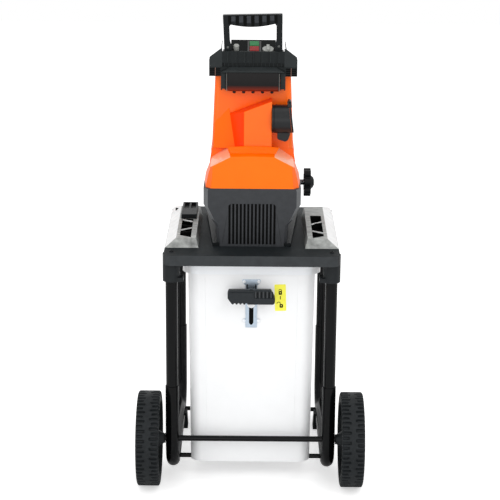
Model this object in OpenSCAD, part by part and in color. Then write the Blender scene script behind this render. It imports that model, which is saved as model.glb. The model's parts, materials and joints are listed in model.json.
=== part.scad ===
// Garden shredder on a wheeled tube stand, with a collection box under the chassis.
// Millimetres, +Z up, the wheels and the box lock face -Y, and the floor is at z = 0.

/* [Stand] */
// Diameter of a wheel
wheel_d = 200; // [180:1:220]
// Width of a wheel's tread
wheel_w = 47; // [40:1:54]
// Distance from the centre plane to a wheel's inner face
wheel_in_x = 189; // [188:1:198]
// Diameter of the wheel axle
axle_d = 12; // [10:0.5:14]
// Distance from the centre plane to the legs
leg_x = 164; // [160:1:164]
// Distance from the front legs to the rear legs
leg_span = 400; // [380:1:430]
// Diameter of the upper leg tubes
leg_d = 25; // [22:0.5:26]
// Wall of the upper leg tubes
leg_wall = 1.5; // [1:0.1:2.5]
// Wall of the lower U-shaped tubes
frame_wall = 1.5; // [1:0.1:2]
// Height of the centre line of the lower tubes
frame_z = 34; // [30:1:38]
// Bend radius of the lower tubes
bend_r = 54; // [44:1:56]
// Height at which the lower tubes end
sleeve_top = 218; // [190:1:260]
// Length of a leg inside the lower tube
leg_plug = 50; // [30:1:60]
// Diameter of the bars that carry the box
bar_d = 10; // [8:0.5:12]
// Distance from the end of a bend to a box bar
bar_inset = 10; // [8:1:40]
// Length of a rear foot along the tube
foot_l = 30; // [20:1:40]

/* [Chassis] */
// Width of the chassis
chassis_w = 359; // [355:1:370]
// Overhang of the chassis past the legs, front and rear
chassis_over = 30; // [24:1:40]
// Height of the deck's top
deck_z = 509; // [505:1:530]
// Thickness of the deck
deck_t = 4; // [3:0.5:6]
// Height of the chassis edge
apron_h = 22; // [18:1:30]
// Fall of the deck behind the housing, down to its rear edge
rear_fall = 14; // [6:1:15]
// Outer diameter of the leg sockets
socket_d = 36; // [34:0.5:38]
// Depth of the leg sockets below the deck's top
socket_h = 61; // [56:1:70]
// Height of the side rails
rail_h = 20; // [18:1:26]
// Length of the side rails
rail_l = 271; // [240:1:280]

/* [Collection box] */
// Width of the box at its top
box_top_w = 265; // [255:1:268]
// Width of the box at its floor
box_floor_w = 253; // [240:1:255]
// Distance from the axle to the box's front wall
box_setback = 20; // [16:1:40]
// Depth of the box from front to rear
box_l = 397; // [360:1:400]
// Wall of the box
box_wall = 3; // [2:0.5:4]
// Corner radius of the box
box_r = 24; // [14:1:30]
// Height of the box's rim
rim_h = 28; // [16:1:28]
// How far the rim stands out of the box wall
rim_out = 10; // [6:0.5:10]

/* [Box lock] */
// Downward travel of the lock
lock_travel = 36; // [24:1:40]
// Width of the lock handle
lock_grip_w = 98; // [80:1:104]
// Height of the lock handle
lock_grip_h = 32; // [26:1:36]
// Diameter of the lock's guide pin
lock_pin_d = 8.4; // [7:0.1:9]

/* [Motor and housings] */
// Distance from the axle to the front of the main housing
main_setback = 115; // [112:1:125]
// Height of the main housing
main_h = 191; // [186:1:194]
// Widest half width of the motor hood
hood_half = 100; // [94:1:106]
// Height of the hood's flat top above the deck
hood_h = 194; // [186:1:200]
// Length of the hood from its front to the main housing
hood_l = 72; // [66:1:80]
// Wall of the plastic housings
shell_t = 3; // [2:0.5:4]
// Number of vent slots
vent_count = 13; // [7:2:13]
// Width of one vent slot
vent_w = 4.3; // [3:0.1:5]
// Distance between vent slots
vent_pitch = 7.7; // [6.5:0.1:7.9]
// Length of the main housing
main_l = 200; // [196:1:215]
// Width of the main housing
main_w = 188; // [180:1:192]

/* [Feed chute] */
// Width of the chute at its foot
chute_w = 169; // [160:1:172]
// Width of the chute at its top
chute_top_w = 156; // [150:1:158]
// Depth of the chute from front to rear
chute_l = 165; // [150:1:170]
// Height of the chute above the main housing
chute_h = 153; // [140:1:180]
// How far the cable duct stands out of the chute
duct_out = 46; // [42:1:52]
// Outer diameter of the mains inlet
inlet_d = 58; // [54:0.5:60]
// Length of the mains inlet
inlet_l = 34; // [28:1:40]

/* [Head and controls] */
// Width of the hopper head
head_w = 180; // [172:1:190]
// Depth of the hopper head
head_l = 200; // [190:1:220]
// Height of the hopper head
head_h = 51; // [48:1:66]
// Width of the carry handle
grip_w = 121; // [110:1:126]
// Height of the carry handle above the head
grip_h = 75; // [66:1:90]
// Diameter of the carry handle's grip
grip_d = 19; // [16:0.5:22]
// Travel of the on and off buttons
button_travel = 2.5; // [1:0.5:3]

/* [Crushing gear] */
// Diameter of the crushing drum
drum_d = 84; // [76:1:86]
// Length of the crushing drum
drum_l = 92; // [80:1:94]
// Number of blades on the drum
drum_blades = 8; // [6:1:10]
// Diameter of the drum shaft
drum_shaft_d = 20; // [16:1:24]
// Diameter of the motor shaft
motor_shaft_d = 12; // [10:0.5:14]
// Teeth of both pinions
pinion_teeth = 12; // [12:1:13]
// Teeth of the first large gear
first_teeth = 48; // [46:1:50]
// Teeth of the output gear
output_teeth = 36; // [35:1:37]
// Module of the first gear pair
first_module = 1.5; // [1.4:0.1:1.6]
// Module of the second gear pair
second_module = 2.5; // [2.4:0.1:2.6]
// Diameter of the adjuster screw
screw_d = 12; // [10:0.5:14]
// Pitch of the adjuster screw
screw_pitch = 1.5; // [1:0.25:1.5]
// Turns of the adjuster knob
screw_turns = 2; // [1:0.5:2]
// Diameter of the adjuster knob
star_d = 62; // [54:1:66]

/* [Hidden] */
$fn = 64;

// Clearances
slip = 0.1;
run_fit = 0.05;
clear = 0.3;
over = 1;
skin = 0.01;

// Stand, worked out
wheel_r = wheel_d / 2;
axle_z = wheel_r;
axle_y = (wheel_r - leg_span - chassis_over) / 2;
rear_leg_y = axle_y + leg_span;
frame_bore = leg_d + 2 * slip;
frame_d = frame_bore + 2 * frame_wall;
front_bar_y = axle_y + bend_r + bar_inset;
rear_bar_y = rear_leg_y - bend_r - bar_inset;
hub_out = 8.5;
hub_tip_r = 10;
hub_r = 16;
web_in = 20;
web_t = 6;
rim_t = 18;
cap_r = 30;
cap_t = 3;
cap_wall = 4;
washer_t = 1.5;
washer_r = 11;
tread_edge = 5;
foot_y = rear_leg_y - bend_r - bar_inset - bar_d - foot_l / 2;
foot_half = 20;

// Chassis and box, worked out
chassis_front = axle_y - chassis_over;
chassis_l = leg_span + 2 * chassis_over;
chassis_rear = chassis_front + chassis_l;
chassis_r = 18;
fall_l = 114;
apron_t = 3;
deck_low = deck_z - deck_t;
socket_low = deck_z - socket_h;
collar_h = 9;
collar_in = 25;
collar_w = 26;
rail_in = 110;
rail_out = 161;
rail_slope = 5;
rail_skirt = 18;
rail_setback = 59;
rail_wall = 4;
rail_front = chassis_front + rail_setback;
left_window = 0.55;
right_window = 0.68;
rib_tilt = 22;
window_depth = 14;
rib_t = 1.5;
clip_h = 10;
clip_share = 0.4;
screw_head_d = 9;
screw_head_h = 2.5;
box_front = axle_y + box_setback;
box_floor_z = frame_z + bar_d / 2 + clear;
box_top_z = deck_z - apron_h - 1;
lock_drop = 70;
lock_pin_drop = 22;
lock_z = box_top_z - lock_drop;
lock_pin_z = lock_z - lock_pin_drop;
lock_slot_w = lock_pin_d + 2 * clear;
bracket_t = 2;
bracket_w = 24;
bracket_tail = 8;
bracket_low = lock_pin_z - lock_travel - lock_slot_w - bracket_tail;
bracket_rise = 29;
bracket_top = lock_z + bracket_rise;
ear_w = 38;
ear_h = 10;
lock_screw_x = 15;
lock_screw_d = 3.4;
bracket_face = box_front - bracket_t;
finger_gap = 18;
grip_back = bracket_face - finger_gap;
grip_t = 15;
tongue_w = 20;
tongue_t = 2;
label_w = 24;
label_h = 60;
label_x = 60;
label_drop = 10;

// A rectangle with round corners, centred on the origin
module rounded_rect(w, l, r) {
    square([w - 2 * r, l], center = true);
    square([w, l - 2 * r], center = true);
    for (x = [-1, 1], y = [-1, 1])
        translate([x * (w / 2 - r), y * (l / 2 - r)])
            circle(r = r);
}

// Mirrors its children to the left for side = -1
module on_side(side) {
    mirror([side < 0 ? 1 : 0, 0, 0])
        children();
}

// A bar along X, centred on x = 0
module bar_x(d, l) {
    rotate([0, 90, 0])
        cylinder(d = d, h = l, center = true);
}

// Stand

// The path of a lower tube: front upright, bend, bottom run, bend and rear upright
module frame_path(d, top) {
    upright_z = frame_z + bend_r;
    for (y = [axle_y, rear_leg_y])
        translate([leg_x, y, upright_z])
            cylinder(d = d, h = top - upright_z);
    translate([leg_x, axle_y + bend_r, frame_z])
        rotate([-90, 0, 0])
            cylinder(d = d, h = leg_span - 2 * bend_r);
    for (bend = [[axle_y + bend_r, 180], [rear_leg_y - bend_r, 270]])
        translate([leg_x, bend[0], upright_z])
            rotate([90, 0, 90])
                rotate([0, 0, bend[1]])
                    rotate_extrude(angle = 90)
                        translate([bend_r, 0])
                            circle(d = d);
}

module lower_frame(side) {
    color("#1b1d1f")
        on_side(side)
            difference() {
                frame_path(frame_d, sleeve_top);
                frame_path(frame_bore, sleeve_top + over);
                translate([leg_x, axle_y, axle_z])
                    bar_x(axle_d + 2 * slip, 2 * frame_d);
                for (y = [front_bar_y, rear_bar_y])
                    translate([leg_x - frame_d / 2, y, frame_z])
                        bar_x(bar_d + 2 * slip, frame_d);
            }
}

// The height of a leg's upper end, which is lower at the rear
function leg_top(y) = y == axle_y ? deck_low : deck_low - rear_fall;

module leg(side, y) {
    low = sleeve_top - leg_plug;
    color("#1b1d1f")
        on_side(side)
            translate([leg_x, y, low])
                difference() {
                    cylinder(d = leg_d, h = leg_top(y) - low);
                    translate([0, 0, -over])
                        cylinder(d = leg_d - 2 * leg_wall, h = leg_top(y) - low + 2 * over);
                }
}

module cross_bar(y) {
    color("#1b1d1f")
        translate([0, y, frame_z])
            bar_x(bar_d, 2 * (leg_x - frame_bore / 4));
}

module wheel_axle() {
    color("#202224")
        translate([0, axle_y, axle_z])
            bar_x(axle_d, 2 * (wheel_in_x + wheel_w - 2 * cap_wall));
}

// Places its children on the axle, with local +Z pointing away from the centre plane
module on_axle(side, x) {
    on_side(side)
        translate([x, axle_y, axle_z])
            rotate([0, 90, 0])
                children();
}

module wheel(side) {
    bore_r = axle_d / 2 + run_fit;
    rim_r = wheel_r - rim_t;
    web_out = web_in + web_t;
    hub_end = wheel_w - 3 * cap_wall;
    color("#28292b")
        on_axle(side, wheel_in_x)
            rotate_extrude($fn = 96)
                polygon([[bore_r, -hub_out], [hub_tip_r, -hub_out], [hub_r, 0], [hub_r, web_in],
                    [rim_r, web_in], [rim_r, 0], [wheel_r - tread_edge, 0], [wheel_r, tread_edge],
                    [wheel_r, wheel_w - tread_edge], [wheel_r - tread_edge, wheel_w], [rim_r, wheel_w],
                    [rim_r, web_out], [cap_r, web_out], [cap_r, wheel_w - cap_wall],
                    [cap_r - cap_wall, wheel_w - cap_wall], [cap_r - cap_wall, web_out],
                    [hub_r, web_out], [hub_r, hub_end], [bore_r, hub_end]]);
}

module hub_cap(side) {
    color("#303234")
        on_axle(side, wheel_in_x + wheel_w - cap_wall)
            rotate_extrude()
                polygon([[0, 0], [cap_r, 0], [cap_r, cap_t / 2], [cap_r - cap_t, cap_t], [0, cap_t]]);
}

module axle_washers() {
    color("#b8bec4")
        for (side = [-1, 1], x = [wheel_in_x - hub_out - clear - washer_t,
                wheel_in_x + wheel_w - 3 * cap_wall + clear])
            on_axle(side, x)
                difference() {
                    cylinder(r = washer_r, h = washer_t);
                    translate([0, 0, -over])
                        cylinder(d = axle_d + 2 * run_fit, h = washer_t + 2 * over);
                }
}

module foot(side) {
    color("#1f2123")
        on_side(side)
            translate([leg_x, foot_y, 0])
                difference() {
                    rotate([90, 0, 0])
                        linear_extrude(foot_l, center = true)
                            polygon([[-foot_half, 0], [foot_half, 0], [foot_half - 2, frame_z + 4],
                                [2 - foot_half, frame_z + 4]]);
                    translate([0, 0, frame_z])
                        rotate([90, 0, 0])
                            cylinder(d = frame_d + 2 * slip, h = foot_l + 2 * over, center = true);
                }
}

// Chassis

module chassis_plan(inset) {
    translate([0, chassis_front + chassis_l / 2])
        rounded_rect(chassis_w - 2 * inset, chassis_l - 2 * inset, chassis_r - inset);
}

// Everything under the deck's top, which falls behind the housing, less a drop
module under_deck(drop) {
    rear_z = deck_z - drop - rear_fall * (fall_l + over) / fall_l;
    translate([-chassis_w, 0, 0])
        rotate([90, 0, 90])
            linear_extrude(2 * chassis_w)
                polygon([[chassis_front - over, socket_low - over], [chassis_rear + over, socket_low - over],
                    [chassis_rear + over, rear_z], [chassis_rear - fall_l, deck_z - drop],
                    [chassis_front - over, deck_z - drop]]);
}

// A block over the chassis plan, cut by the deck's top less a drop
module chassis_block(inset, low, drop) {
    intersection() {
        translate([0, 0, low])
            linear_extrude(deck_z - low)
                chassis_plan(inset);
        under_deck(drop);
    }
}

module chassis() {
    color("#2c2e30")
        difference() {
            union() {
                difference() {
                    chassis_block(0, deck_z - apron_h, 0);
                    chassis_block(apron_t, deck_z - apron_h - over, deck_t);
                }
                intersection() {
                    for (side = [-1, 1], y = [axle_y, rear_leg_y])
                        on_side(side)
                            translate([leg_x, y, socket_low])
                                cylinder(d = socket_d, h = socket_h);
                    under_deck(deck_t - over);
                }
                for (side = [-1, 1], y = [axle_y, rear_leg_y])
                    on_side(side)
                        translate([leg_x - collar_in, y - collar_w / 2, socket_low])
                            cube([collar_in, collar_w, collar_h]);
            }
            for (side = [-1, 1], y = [axle_y, rear_leg_y])
                on_side(side)
                    translate([leg_x, y, socket_low - over])
                        cylinder(d = leg_d + 2 * slip, h = leg_top(y) - socket_low + over);
            translate([drum_x - outlet_w / 2, drum_y, deck_low - over])
                cube([outlet_w, drum_l, deck_t + 2 * over]);
        }
}

// A round screw head with a cross recess, standing on z = 0
module pan_head(d, h) {
    recess_w = d / 7;
    difference() {
        cylinder(d1 = d, d2 = d * 0.8, h = h);
        for (turn = [0, 90])
            rotate([0, 0, turn])
                translate([-d / 4, -recess_w / 2, h / 2])
                    cube([d / 2, recess_w, h]);
    }
}

// A side rail's solid outline: a sloped bar with a wide outer skirt and a sloped nose
module rail_block() {
    intersection() {
        translate([0, rail_front + rail_l, deck_z])
            rotate([90, 0, 0])
                linear_extrude(rail_l)
                    polygon([[rail_in, 0], [rail_out + rail_skirt, 0], [rail_out - rail_slope, rail_h],
                        [rail_in + rail_slope, rail_h]]);
        rotate([90, 0, 90])
            linear_extrude(chassis_w)
                polygon([[rail_front, deck_z], [rail_front + rail_l, deck_z],
                    [rail_front + rail_l, deck_z + rail_h], [rail_front + rail_slope, deck_z + rail_h]]);
    }
}

// A rail with one long window over a share of its length, crossed by two ribs that lean opposite ways
module side_rail(side, share) {
    window_in = rail_in + rail_slope + rail_wall;
    window_w = rail_out - rail_in - 2 * rail_slope - 2 * rail_wall;
    window_l = share * rail_l;
    color("#b4b7b6")
        on_side(side)
            difference() {
                rail_block();
                translate([window_in, rail_front + 2 * rail_wall, deck_z + rail_h - window_depth])
                    difference() {
                        cube([window_w, window_l, window_depth + over]);
                        for (i = [1, 2])
                            translate([window_w / 2, i * window_l / 3, window_depth / 2 - over])
                                rotate([0, 0, (i == 1 ? -1 : 1) * rib_tilt])
                                    cube([2 * window_w, rib_t, window_depth], center = true);
                    }
            }
}

module tool_clip() {
    clip_l = clip_share * rail_l;
    clip_w = rail_out - rail_in - 2 * rail_slope - 2 * rail_wall;
    slot_w = (clip_w - 3 * rail_wall) / 2;
    color("#26282a")
        on_side(-1)
            translate([rail_in + rail_slope + rail_wall, rail_front + rail_l - clip_l - rail_wall,
                    deck_z + rail_h])
                difference() {
                    cube([clip_w, clip_l, clip_h]);
                    for (i = [0, 1])
                        translate([rail_wall + i * (slot_w + rail_wall), clip_l / 2, rail_wall])
                            cube([slot_w, clip_l / 2 - rail_wall, clip_h]);
                }
}

// Collection box

module box_plan(w, inset) {
    translate([0, box_front + box_l / 2])
        rounded_rect(w - 2 * inset, box_l - 2 * inset, box_r - inset);
}

// The tapering body of the box, or its hollow for an inset
module box_form(inset, low, high) {
    hull() {
        translate([0, 0, low])
            linear_extrude(skin)
                box_plan(box_floor_w, inset);
        translate([0, 0, high - skin])
            linear_extrude(skin)
                box_plan(box_top_w, inset);
    }
}

// The vertical slot that guides the lock, as a prism through the front wall and the bracket
module lock_slot() {
    low = lock_pin_z - lock_travel;
    translate([0, box_front + box_l / 4, 0])
        rotate([90, 0, 0])
            linear_extrude(box_l / 2) {
                translate([-lock_slot_w / 2, low])
                    square([lock_slot_w, lock_z - low]);
                for (z = [low, lock_z])
                    translate([0, z])
                        circle(d = lock_slot_w);
            }
}

// Places its children at the four screws of the lock bracket, with local +Z pointing to the front
module at_lock_screws(y) {
    for (x = [-lock_screw_x, lock_screw_x], z = [bracket_low + ear_h / 2, bracket_top - ear_h / 2])
        translate([x, y, z])
            rotate([90, 0, 0])
                children();
}

module collection_box() {
    color("#f2f3f2")
        difference() {
            union() {
                box_form(0, box_floor_z, box_top_z);
                translate([0, 0, box_top_z - box_wall])
                    linear_extrude(box_wall)
                        box_plan(box_top_w, -rim_out);
                translate([0, 0, box_top_z - rim_h])
                    linear_extrude(rim_h)
                        difference() {
                            box_plan(box_top_w, -rim_out);
                            box_plan(box_top_w, box_wall - rim_out);
                        }
            }
            box_form(box_wall, box_floor_z + box_wall, box_top_z + over);
            lock_slot();
            at_lock_screws(box_front + box_wall + over)
                cylinder(d = lock_screw_d + 2 * slip, h = box_wall + 2 * over);
        }
}

module lock_bracket() {
    color("#b9c4cc")
        difference() {
            translate([0, box_front, 0])
                rotate([90, 0, 0])
                    linear_extrude(bracket_t) {
                        translate([-bracket_w / 2, bracket_low])
                            square([bracket_w, bracket_top - bracket_low]);
                        for (z = [bracket_low, bracket_top - ear_h])
                            translate([-ear_w / 2, z])
                                square([ear_w, ear_h]);
                    }
            lock_slot();
            at_lock_screws(box_front + over)
                cylinder(d = lock_screw_d + 2 * slip, h = bracket_t + 2 * over);
        }
}

module lock_screws() {
    color("#d5dade")
        at_lock_screws(bracket_face) {
            pan_head(screw_head_d * 0.8, screw_head_h);
            translate([0, 0, -bracket_t - box_wall])
                cylinder(d = lock_screw_d, h = bracket_t + box_wall);
        }
}

module lock_label() {
    color("#f4e33c")
        translate([label_x - label_w / 2, box_front - bracket_t / 4, lock_z - label_h / 2 - label_drop])
            cube([label_w, bracket_t / 4, label_h]);
}

// The lock's grip is the same turned half round: two opposite corners are cut off
module lock_handle() {
    cut = lock_grip_h / 2;
    half_w = lock_grip_w / 2;
    half_h = lock_grip_h / 2;
    groove = 3;
    color("#34373a") {
        difference() {
            translate([0, grip_back, lock_z])
                rotate([90, 0, 0])
                    linear_extrude(grip_t)
                        polygon([[-half_w, half_h], [half_w - cut, half_h], [half_w, half_h - cut],
                            [half_w, -half_h], [cut - half_w, -half_h], [-half_w, cut - half_h]]);
            for (i = [0 : 4])
                translate([half_w / 4 + i * 2 * groove, grip_back - grip_t - over, lock_z - half_h / 4])
                    cube([groove, groove, half_h]);
        }
        translate([0, bracket_face - clear, lock_z])
            rotate([90, 0, 0])
                cylinder(d = bracket_w, h = bracket_face - clear - grip_back);
        translate([0, box_front + box_wall + clear + tongue_t, lock_z])
            rotate([90, 0, 0])
                cylinder(d = lock_pin_d, h = box_wall + tongue_t + bracket_t + 2 * clear + over);
    }
}

module lock_tongue() {
    low = lock_pin_z - lock_pin_d;
    head_d = 14;
    color("#ccd2d6") {
        difference() {
            translate([-tongue_w / 2, box_front + box_wall + clear, low])
                cube([tongue_w, tongue_t, box_top_z - clear - low]);
            translate([0, box_front, lock_z])
                rotate([-90, 0, 0])
                    cylinder(d = lock_pin_d + 2 * slip, h = box_wall + clear + tongue_t + over);
        }
        translate([0, box_front + box_wall + clear + tongue_t / 2, lock_pin_z])
            rotate([90, 0, 0])
                cylinder(d = lock_pin_d, h = box_wall + bracket_t + 2 * clear + tongue_t / 2 + over);
        translate([0, bracket_face - clear, lock_pin_z])
            rotate([90, 0, 0])
                cylinder(d = head_d, h = screw_head_h);
    }
}

module interlock_switch() {
    switch_low = box_top_z + tongue_t;
    color("#3a3d40")
        translate([-tongue_w / 2, box_front, switch_low])
            cube([tongue_w, tongue_w, deck_low - switch_low]);
}

// Housings, worked out
main_front = axle_y + main_setback;
main_top = deck_z + main_h;
hood_front = main_front - hood_l;
hood_top = deck_z + hood_h;
hood_split = 122;
hood_bevel = 9;
hood_flank = [[28, 0], [25, 44], [16, 56], [0, 88]];
hood_brow = [14, 15];
hood_crown = 52;
main_belt = 100;
main_rise = 16;
main_bevel = 8;
main_flank = [[19, 0], [17, 40], [10, 56], [0, 88]];

vent_low = 4;
vent_high = 90;
chute_top = main_top + chute_h;
chute_r = 12;
chute_mid = main_front + chute_l / 2;
boss_d = 30;
boss_out = 8;
duct_left = -18;
duct_right = 39;
duct_flank = 31;
duct_h = 108;
duct_fall = 22;
inlet_y = main_front - inlet_d / 2 - 1;
inlet_rise = 260;
inlet_z = deck_z + inlet_rise;
hook_drop = 18;
inlet_wall = 4;
inlet_floor = 5;
flap_tilt = 7;
flap_t = 4;
flap_pin_d = 4;
flap_pin_x = 2.3;
flap_pin_z = 6;
knuckle_d = 8;
ear_in = 8;
ear_t = 4;

// Right-hand points of the main housing's outline above the deck, drawn in by an inset, with an open foot
function main_points(inset) = concat(
    [for (p = main_flank) [main_w / 2 - p[0] - inset, inset > 0 && p[1] == 0 ? -over : p[1]]],
    [[main_w / 2 - inset, main_belt],
        [main_w / 2 - main_bevel - inset, main_belt + main_rise],
        [main_w / 2 - main_bevel - inset, main_h - inset]]);

// Right-hand points of the hood's outline above the deck, drawn in by an inset, with an open foot
function hood_points(inset) = concat(
    [for (p = hood_flank) [hood_half - p[0] - inset, inset > 0 && p[1] == 0 ? -over : p[1]]],
    [[hood_half - inset, hood_split],
        [hood_half - hood_brow[0] - inset, hood_h - hood_brow[1] - inset / 2],
        [hood_half - hood_crown - inset / 2, hood_h - inset]]);

// A closed outline from its right-hand points
module mirrored_outline(side_points) {
    count = len(side_points);
    polygon(concat(side_points, [for (i = [count - 1 : -1 : 0]) [-side_points[i][0], side_points[i][1]]]));
}

// An outline in X and Z, extruded along +Y from a start and standing on the deck
module along_y(start, length) {
    translate([0, start + length, deck_z])
        rotate([90, 0, 0])
            linear_extrude(length)
                children();
}

// The hood's outer form, or its hollow for an inset, with a bevelled front edge
module hood_form(inset) {
    front = hood_front + inset;
    outline = hood_points(inset);
    shrink = [1 - hood_bevel / hood_half, 1 - hood_bevel / hood_h];
    translate([0, front + hood_bevel, deck_z])
        rotate([90, 0, 0])
            linear_extrude(hood_bevel, scale = shrink, slices = 1, $fn = 3)
                mirrored_outline(outline);
    along_y(front + hood_bevel, main_front - front - hood_bevel + (inset > 0 ? over : 0))
        mirrored_outline(outline);
}

// Everything between two heights above the deck, in front of the main housing
module hood_band(low, high) {
    translate([-hood_half - over, hood_front - over, deck_z + low])
        cube([2 * (hood_half + over), hood_l + over, high - low]);
}

// The hood's shell with a plate at its rear that closes the main housing's front around it
module hood_shell() {
    difference() {
        union() {
            hood_form(0);
            along_y(main_front - shell_t, shell_t)
                mirrored_outline(main_points(0));
        }
        hood_form(shell_t);
    }
}

module motor_hood() {
    color("#ff5a1c")
        intersection() {
            hood_shell();
            hood_band(hood_split, hood_h + over);
        }
}

module vent_cover() {
    grille_w = (vent_count - 1) * vent_pitch + vent_w;
    recess = 1;
    color("#3b3d40")
        difference() {
            intersection() {
                hood_shell();
                hood_band(0, hood_split);
            }
            translate([-grille_w / 2 - recess, hood_front - over, deck_z + vent_low - recess])
                cube([grille_w + 2 * recess, over + recess, vent_high - vent_low + 2 * recess]);
            for (i = [0 : vent_count - 1])
                translate([(i - (vent_count - 1) / 2) * vent_pitch - vent_w / 2, hood_front - over,
                        deck_z + vent_low])
                    cube([vent_w, shell_t + 2 * over, vent_high - vent_low]);
        }
}

module main_housing() {
    color("#ff5a1c")
        difference() {
            union() {
                along_y(main_front, main_l)
                    mirrored_outline(main_points(0));
                translate([main_w / 2 - shell_t - boss_out, screw_y, screw_z])
                    rotate([0, 90, 0])
                        cylinder(d = boss_d, h = shell_t + 2 * boss_out);
            }
            difference() {
                along_y(main_front - over, main_l + over - shell_t)
                    mirrored_outline(main_points(shell_t));
                translate([main_w / 2 - shell_t - boss_out, screw_y, screw_z])
                    rotate([0, 90, 0])
                        cylinder(d = boss_d, h = boss_out);
            }
            translate([-chute_w / 2 + shell_t, main_front + shell_t, main_top - 2 * shell_t])
                cube([chute_w - 2 * shell_t, chute_l - 2 * shell_t, 3 * shell_t]);
            translate([main_w / 2, screw_y, screw_z])
                bar_x(screw_d + 2 * run_fit, main_w / 2);
        }
}

// The chute's outer form, or its hollow for an inset
module chute_form(inset, low, high) {
    hull() {
        translate([0, chute_mid, low])
            linear_extrude(skin)
                rounded_rect(chute_w - 2 * inset, chute_l - 2 * inset, chute_r - inset, $fn = 32);
        translate([0, chute_mid, high - skin])
            linear_extrude(skin)
                rounded_rect(chute_top_w - 2 * inset, chute_l - 2 * inset, chute_r - inset, $fn = 32);
    }
}

module feed_chute() {
    color("#ff6a26")
        difference() {
            chute_form(0, main_top, chute_top);
            chute_form(shell_t, main_top - over, chute_top + over);
        }
}

// The duct's outer form, or its hollow for an inset: a sloped left flank and a slanted top
module duct_form(inset) {
    top = main_top + duct_h - inset;
    slope = duct_fall / (duct_right - duct_left);
    far_left = duct_left - 2 * duct_flank;
    intersection() {
        translate([0, 0, hood_top + inset])
            linear_extrude(duct_h)
                polygon([[duct_left - duct_flank + inset, main_front + (inset > 0 ? over : 0)],
                    [duct_left + inset, main_front - duct_out + inset],
                    [duct_right - inset, main_front - duct_out + inset],
                    [duct_right - inset, main_front + (inset > 0 ? over : 0)]]);
        translate([0, main_front + 2 * over, 0])
            rotate([90, 0, 0])
                linear_extrude(2 * duct_out)
                    polygon([[far_left, hood_top], [2 * duct_right, hood_top],
                        [2 * duct_right, top + duct_right * slope],
                        [far_left, top - (duct_right - far_left) * slope]]);
    }
}

module cable_duct() {
    color("#ff5a1c")
        difference() {
            duct_form(0);
            duct_form(shell_t);
        }
}

// Places its children on the slanted mouth of the mains inlet, from its top edge, with +X pointing out
module at_inlet_mouth() {
    translate([duct_right + inlet_l, inlet_y, inlet_z + inlet_d / 2])
        rotate([0, -flap_tilt, 0])
            children();
}

module inlet_socket() {
    ear_h = inlet_wall + flap_pin_z + flap_pin_d;
    color("#1e2022")
        difference() {
            union() {
                translate([duct_right, inlet_y, inlet_z])
                    rotate([0, 90, 0])
                        cylinder(d = inlet_d, h = 2 * inlet_l);
                translate([duct_right + inlet_l / 3, inlet_y - inlet_wall, inlet_z - inlet_d / 2 - hook_drop])
                    cube([inlet_l * 2 / 3 + inlet_wall, 2 * inlet_wall, hook_drop + inlet_wall]);
                at_inlet_mouth()
                    for (side = [-1, 1])
                        translate([-knuckle_d, side > 0 ? ear_in : -ear_in - ear_t, -inlet_wall])
                            cube([knuckle_d + flap_pin_x + flap_pin_d - over, ear_t, ear_h]);
            }
            translate([duct_right + inlet_floor, inlet_y, inlet_z])
                rotate([0, 90, 0])
                    cylinder(d = inlet_d - 2 * inlet_wall, h = 2 * inlet_l);
            at_inlet_mouth() {
                translate([0, -inlet_d, -2 * inlet_d])
                    cube([2 * inlet_l, 2 * inlet_d, 2 * inlet_d]);
                translate([flap_pin_x, 0, flap_pin_z])
                    rotate([90, 0, 0])
                        cylinder(d = flap_pin_d + 2 * slip, h = inlet_d, center = true);
            }
        }
}

module inlet_pins() {
    pin_d = 4.8;
    pin_l = 19;
    color("#d8c27a")
        for (turn = [90, 210, 330])
            translate([duct_right + inlet_floor, inlet_y, inlet_z])
                rotate([turn, 0, 0])
                    translate([0, 11, 0])
                        rotate([0, 90, 0])
                            cylinder(d = pin_d, h = pin_l);
}

module inlet_flap() {
    color("#1e2022")
        at_inlet_mouth()
            difference() {
                union() {
                    translate([clear, 0, -inlet_d / 2])
                        rotate([0, 90, 0])
                            cylinder(d = inlet_d, h = flap_t);
                    translate([clear, -ear_in + clear, -inlet_wall])
                        cube([flap_t, 2 * (ear_in - clear), inlet_wall + flap_pin_z]);
                    translate([flap_pin_x, 0, flap_pin_z])
                        rotate([90, 0, 0])
                            cylinder(d = knuckle_d, h = 2 * (ear_in - clear), center = true);
                }
                translate([flap_pin_x, 0, flap_pin_z])
                    rotate([90, 0, 0])
                        cylinder(d = flap_pin_d + 2 * run_fit, h = inlet_d, center = true);
            }
}

module flap_pin() {
    color("#b9bec2")
        at_inlet_mouth()
            translate([flap_pin_x, 0, flap_pin_z])
                rotate([90, 0, 0])
                    cylinder(d = flap_pin_d, h = 2 * (ear_in + ear_t), center = true);
}

// Head and controls, worked out
head_nose = 12;
head_front = main_front - head_nose;
head_top = chute_top + head_h;
head_wall = 3.5;
head_shoulder = 16;
head_bevel = 22;
head_fall = 30;
bevel_ease = 0.5;
step_half = 62;
feed_start = 70;
lip_half = 65;
lip_top_half = 46;
lip_out = 10;
lip_low = 9;
lip_edge = 4;
lip_high = 19;
groove_high = 27;
groove_d = 4;
flute_count = 7;
flute_pitch = 16;
rib_count = 4;
rib_pitch = 4;
cover_half = 55;
cover_h = 30;
cover_out = 13;
peg_d = 7;
peg_count = 5;
peg_pitch = 19.6;
grip_leg_w = 13;
grip_foot_w = 17;
grip_foot_h = 14;
grip_depth = 18;
grip_setback = 17;
grip_y = head_front + grip_setback;
wing_y = grip_y + grip_depth / 2 + 2 * over;
grip_screw_d = 4;
grip_screw_x = (grip_w - grip_foot_w) / 2;
panel_half = 43;
panel_wing = 46;
panel_y = head_front + head_wall + 1.5;
panel_l = 56;
panel_low = -5;
panel_rise = 20;
panel_drop = 16;
panel_tilt = atan(panel_rise / panel_l);
switch_x = 2;
button_w = 19;
button_gap = 3;
off_v = 5;
on_v = off_v + button_w + button_gap;
frame_t = 2;
frame_edge = 4.5;
button_top = 4.5;
button_low = 6;
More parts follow.
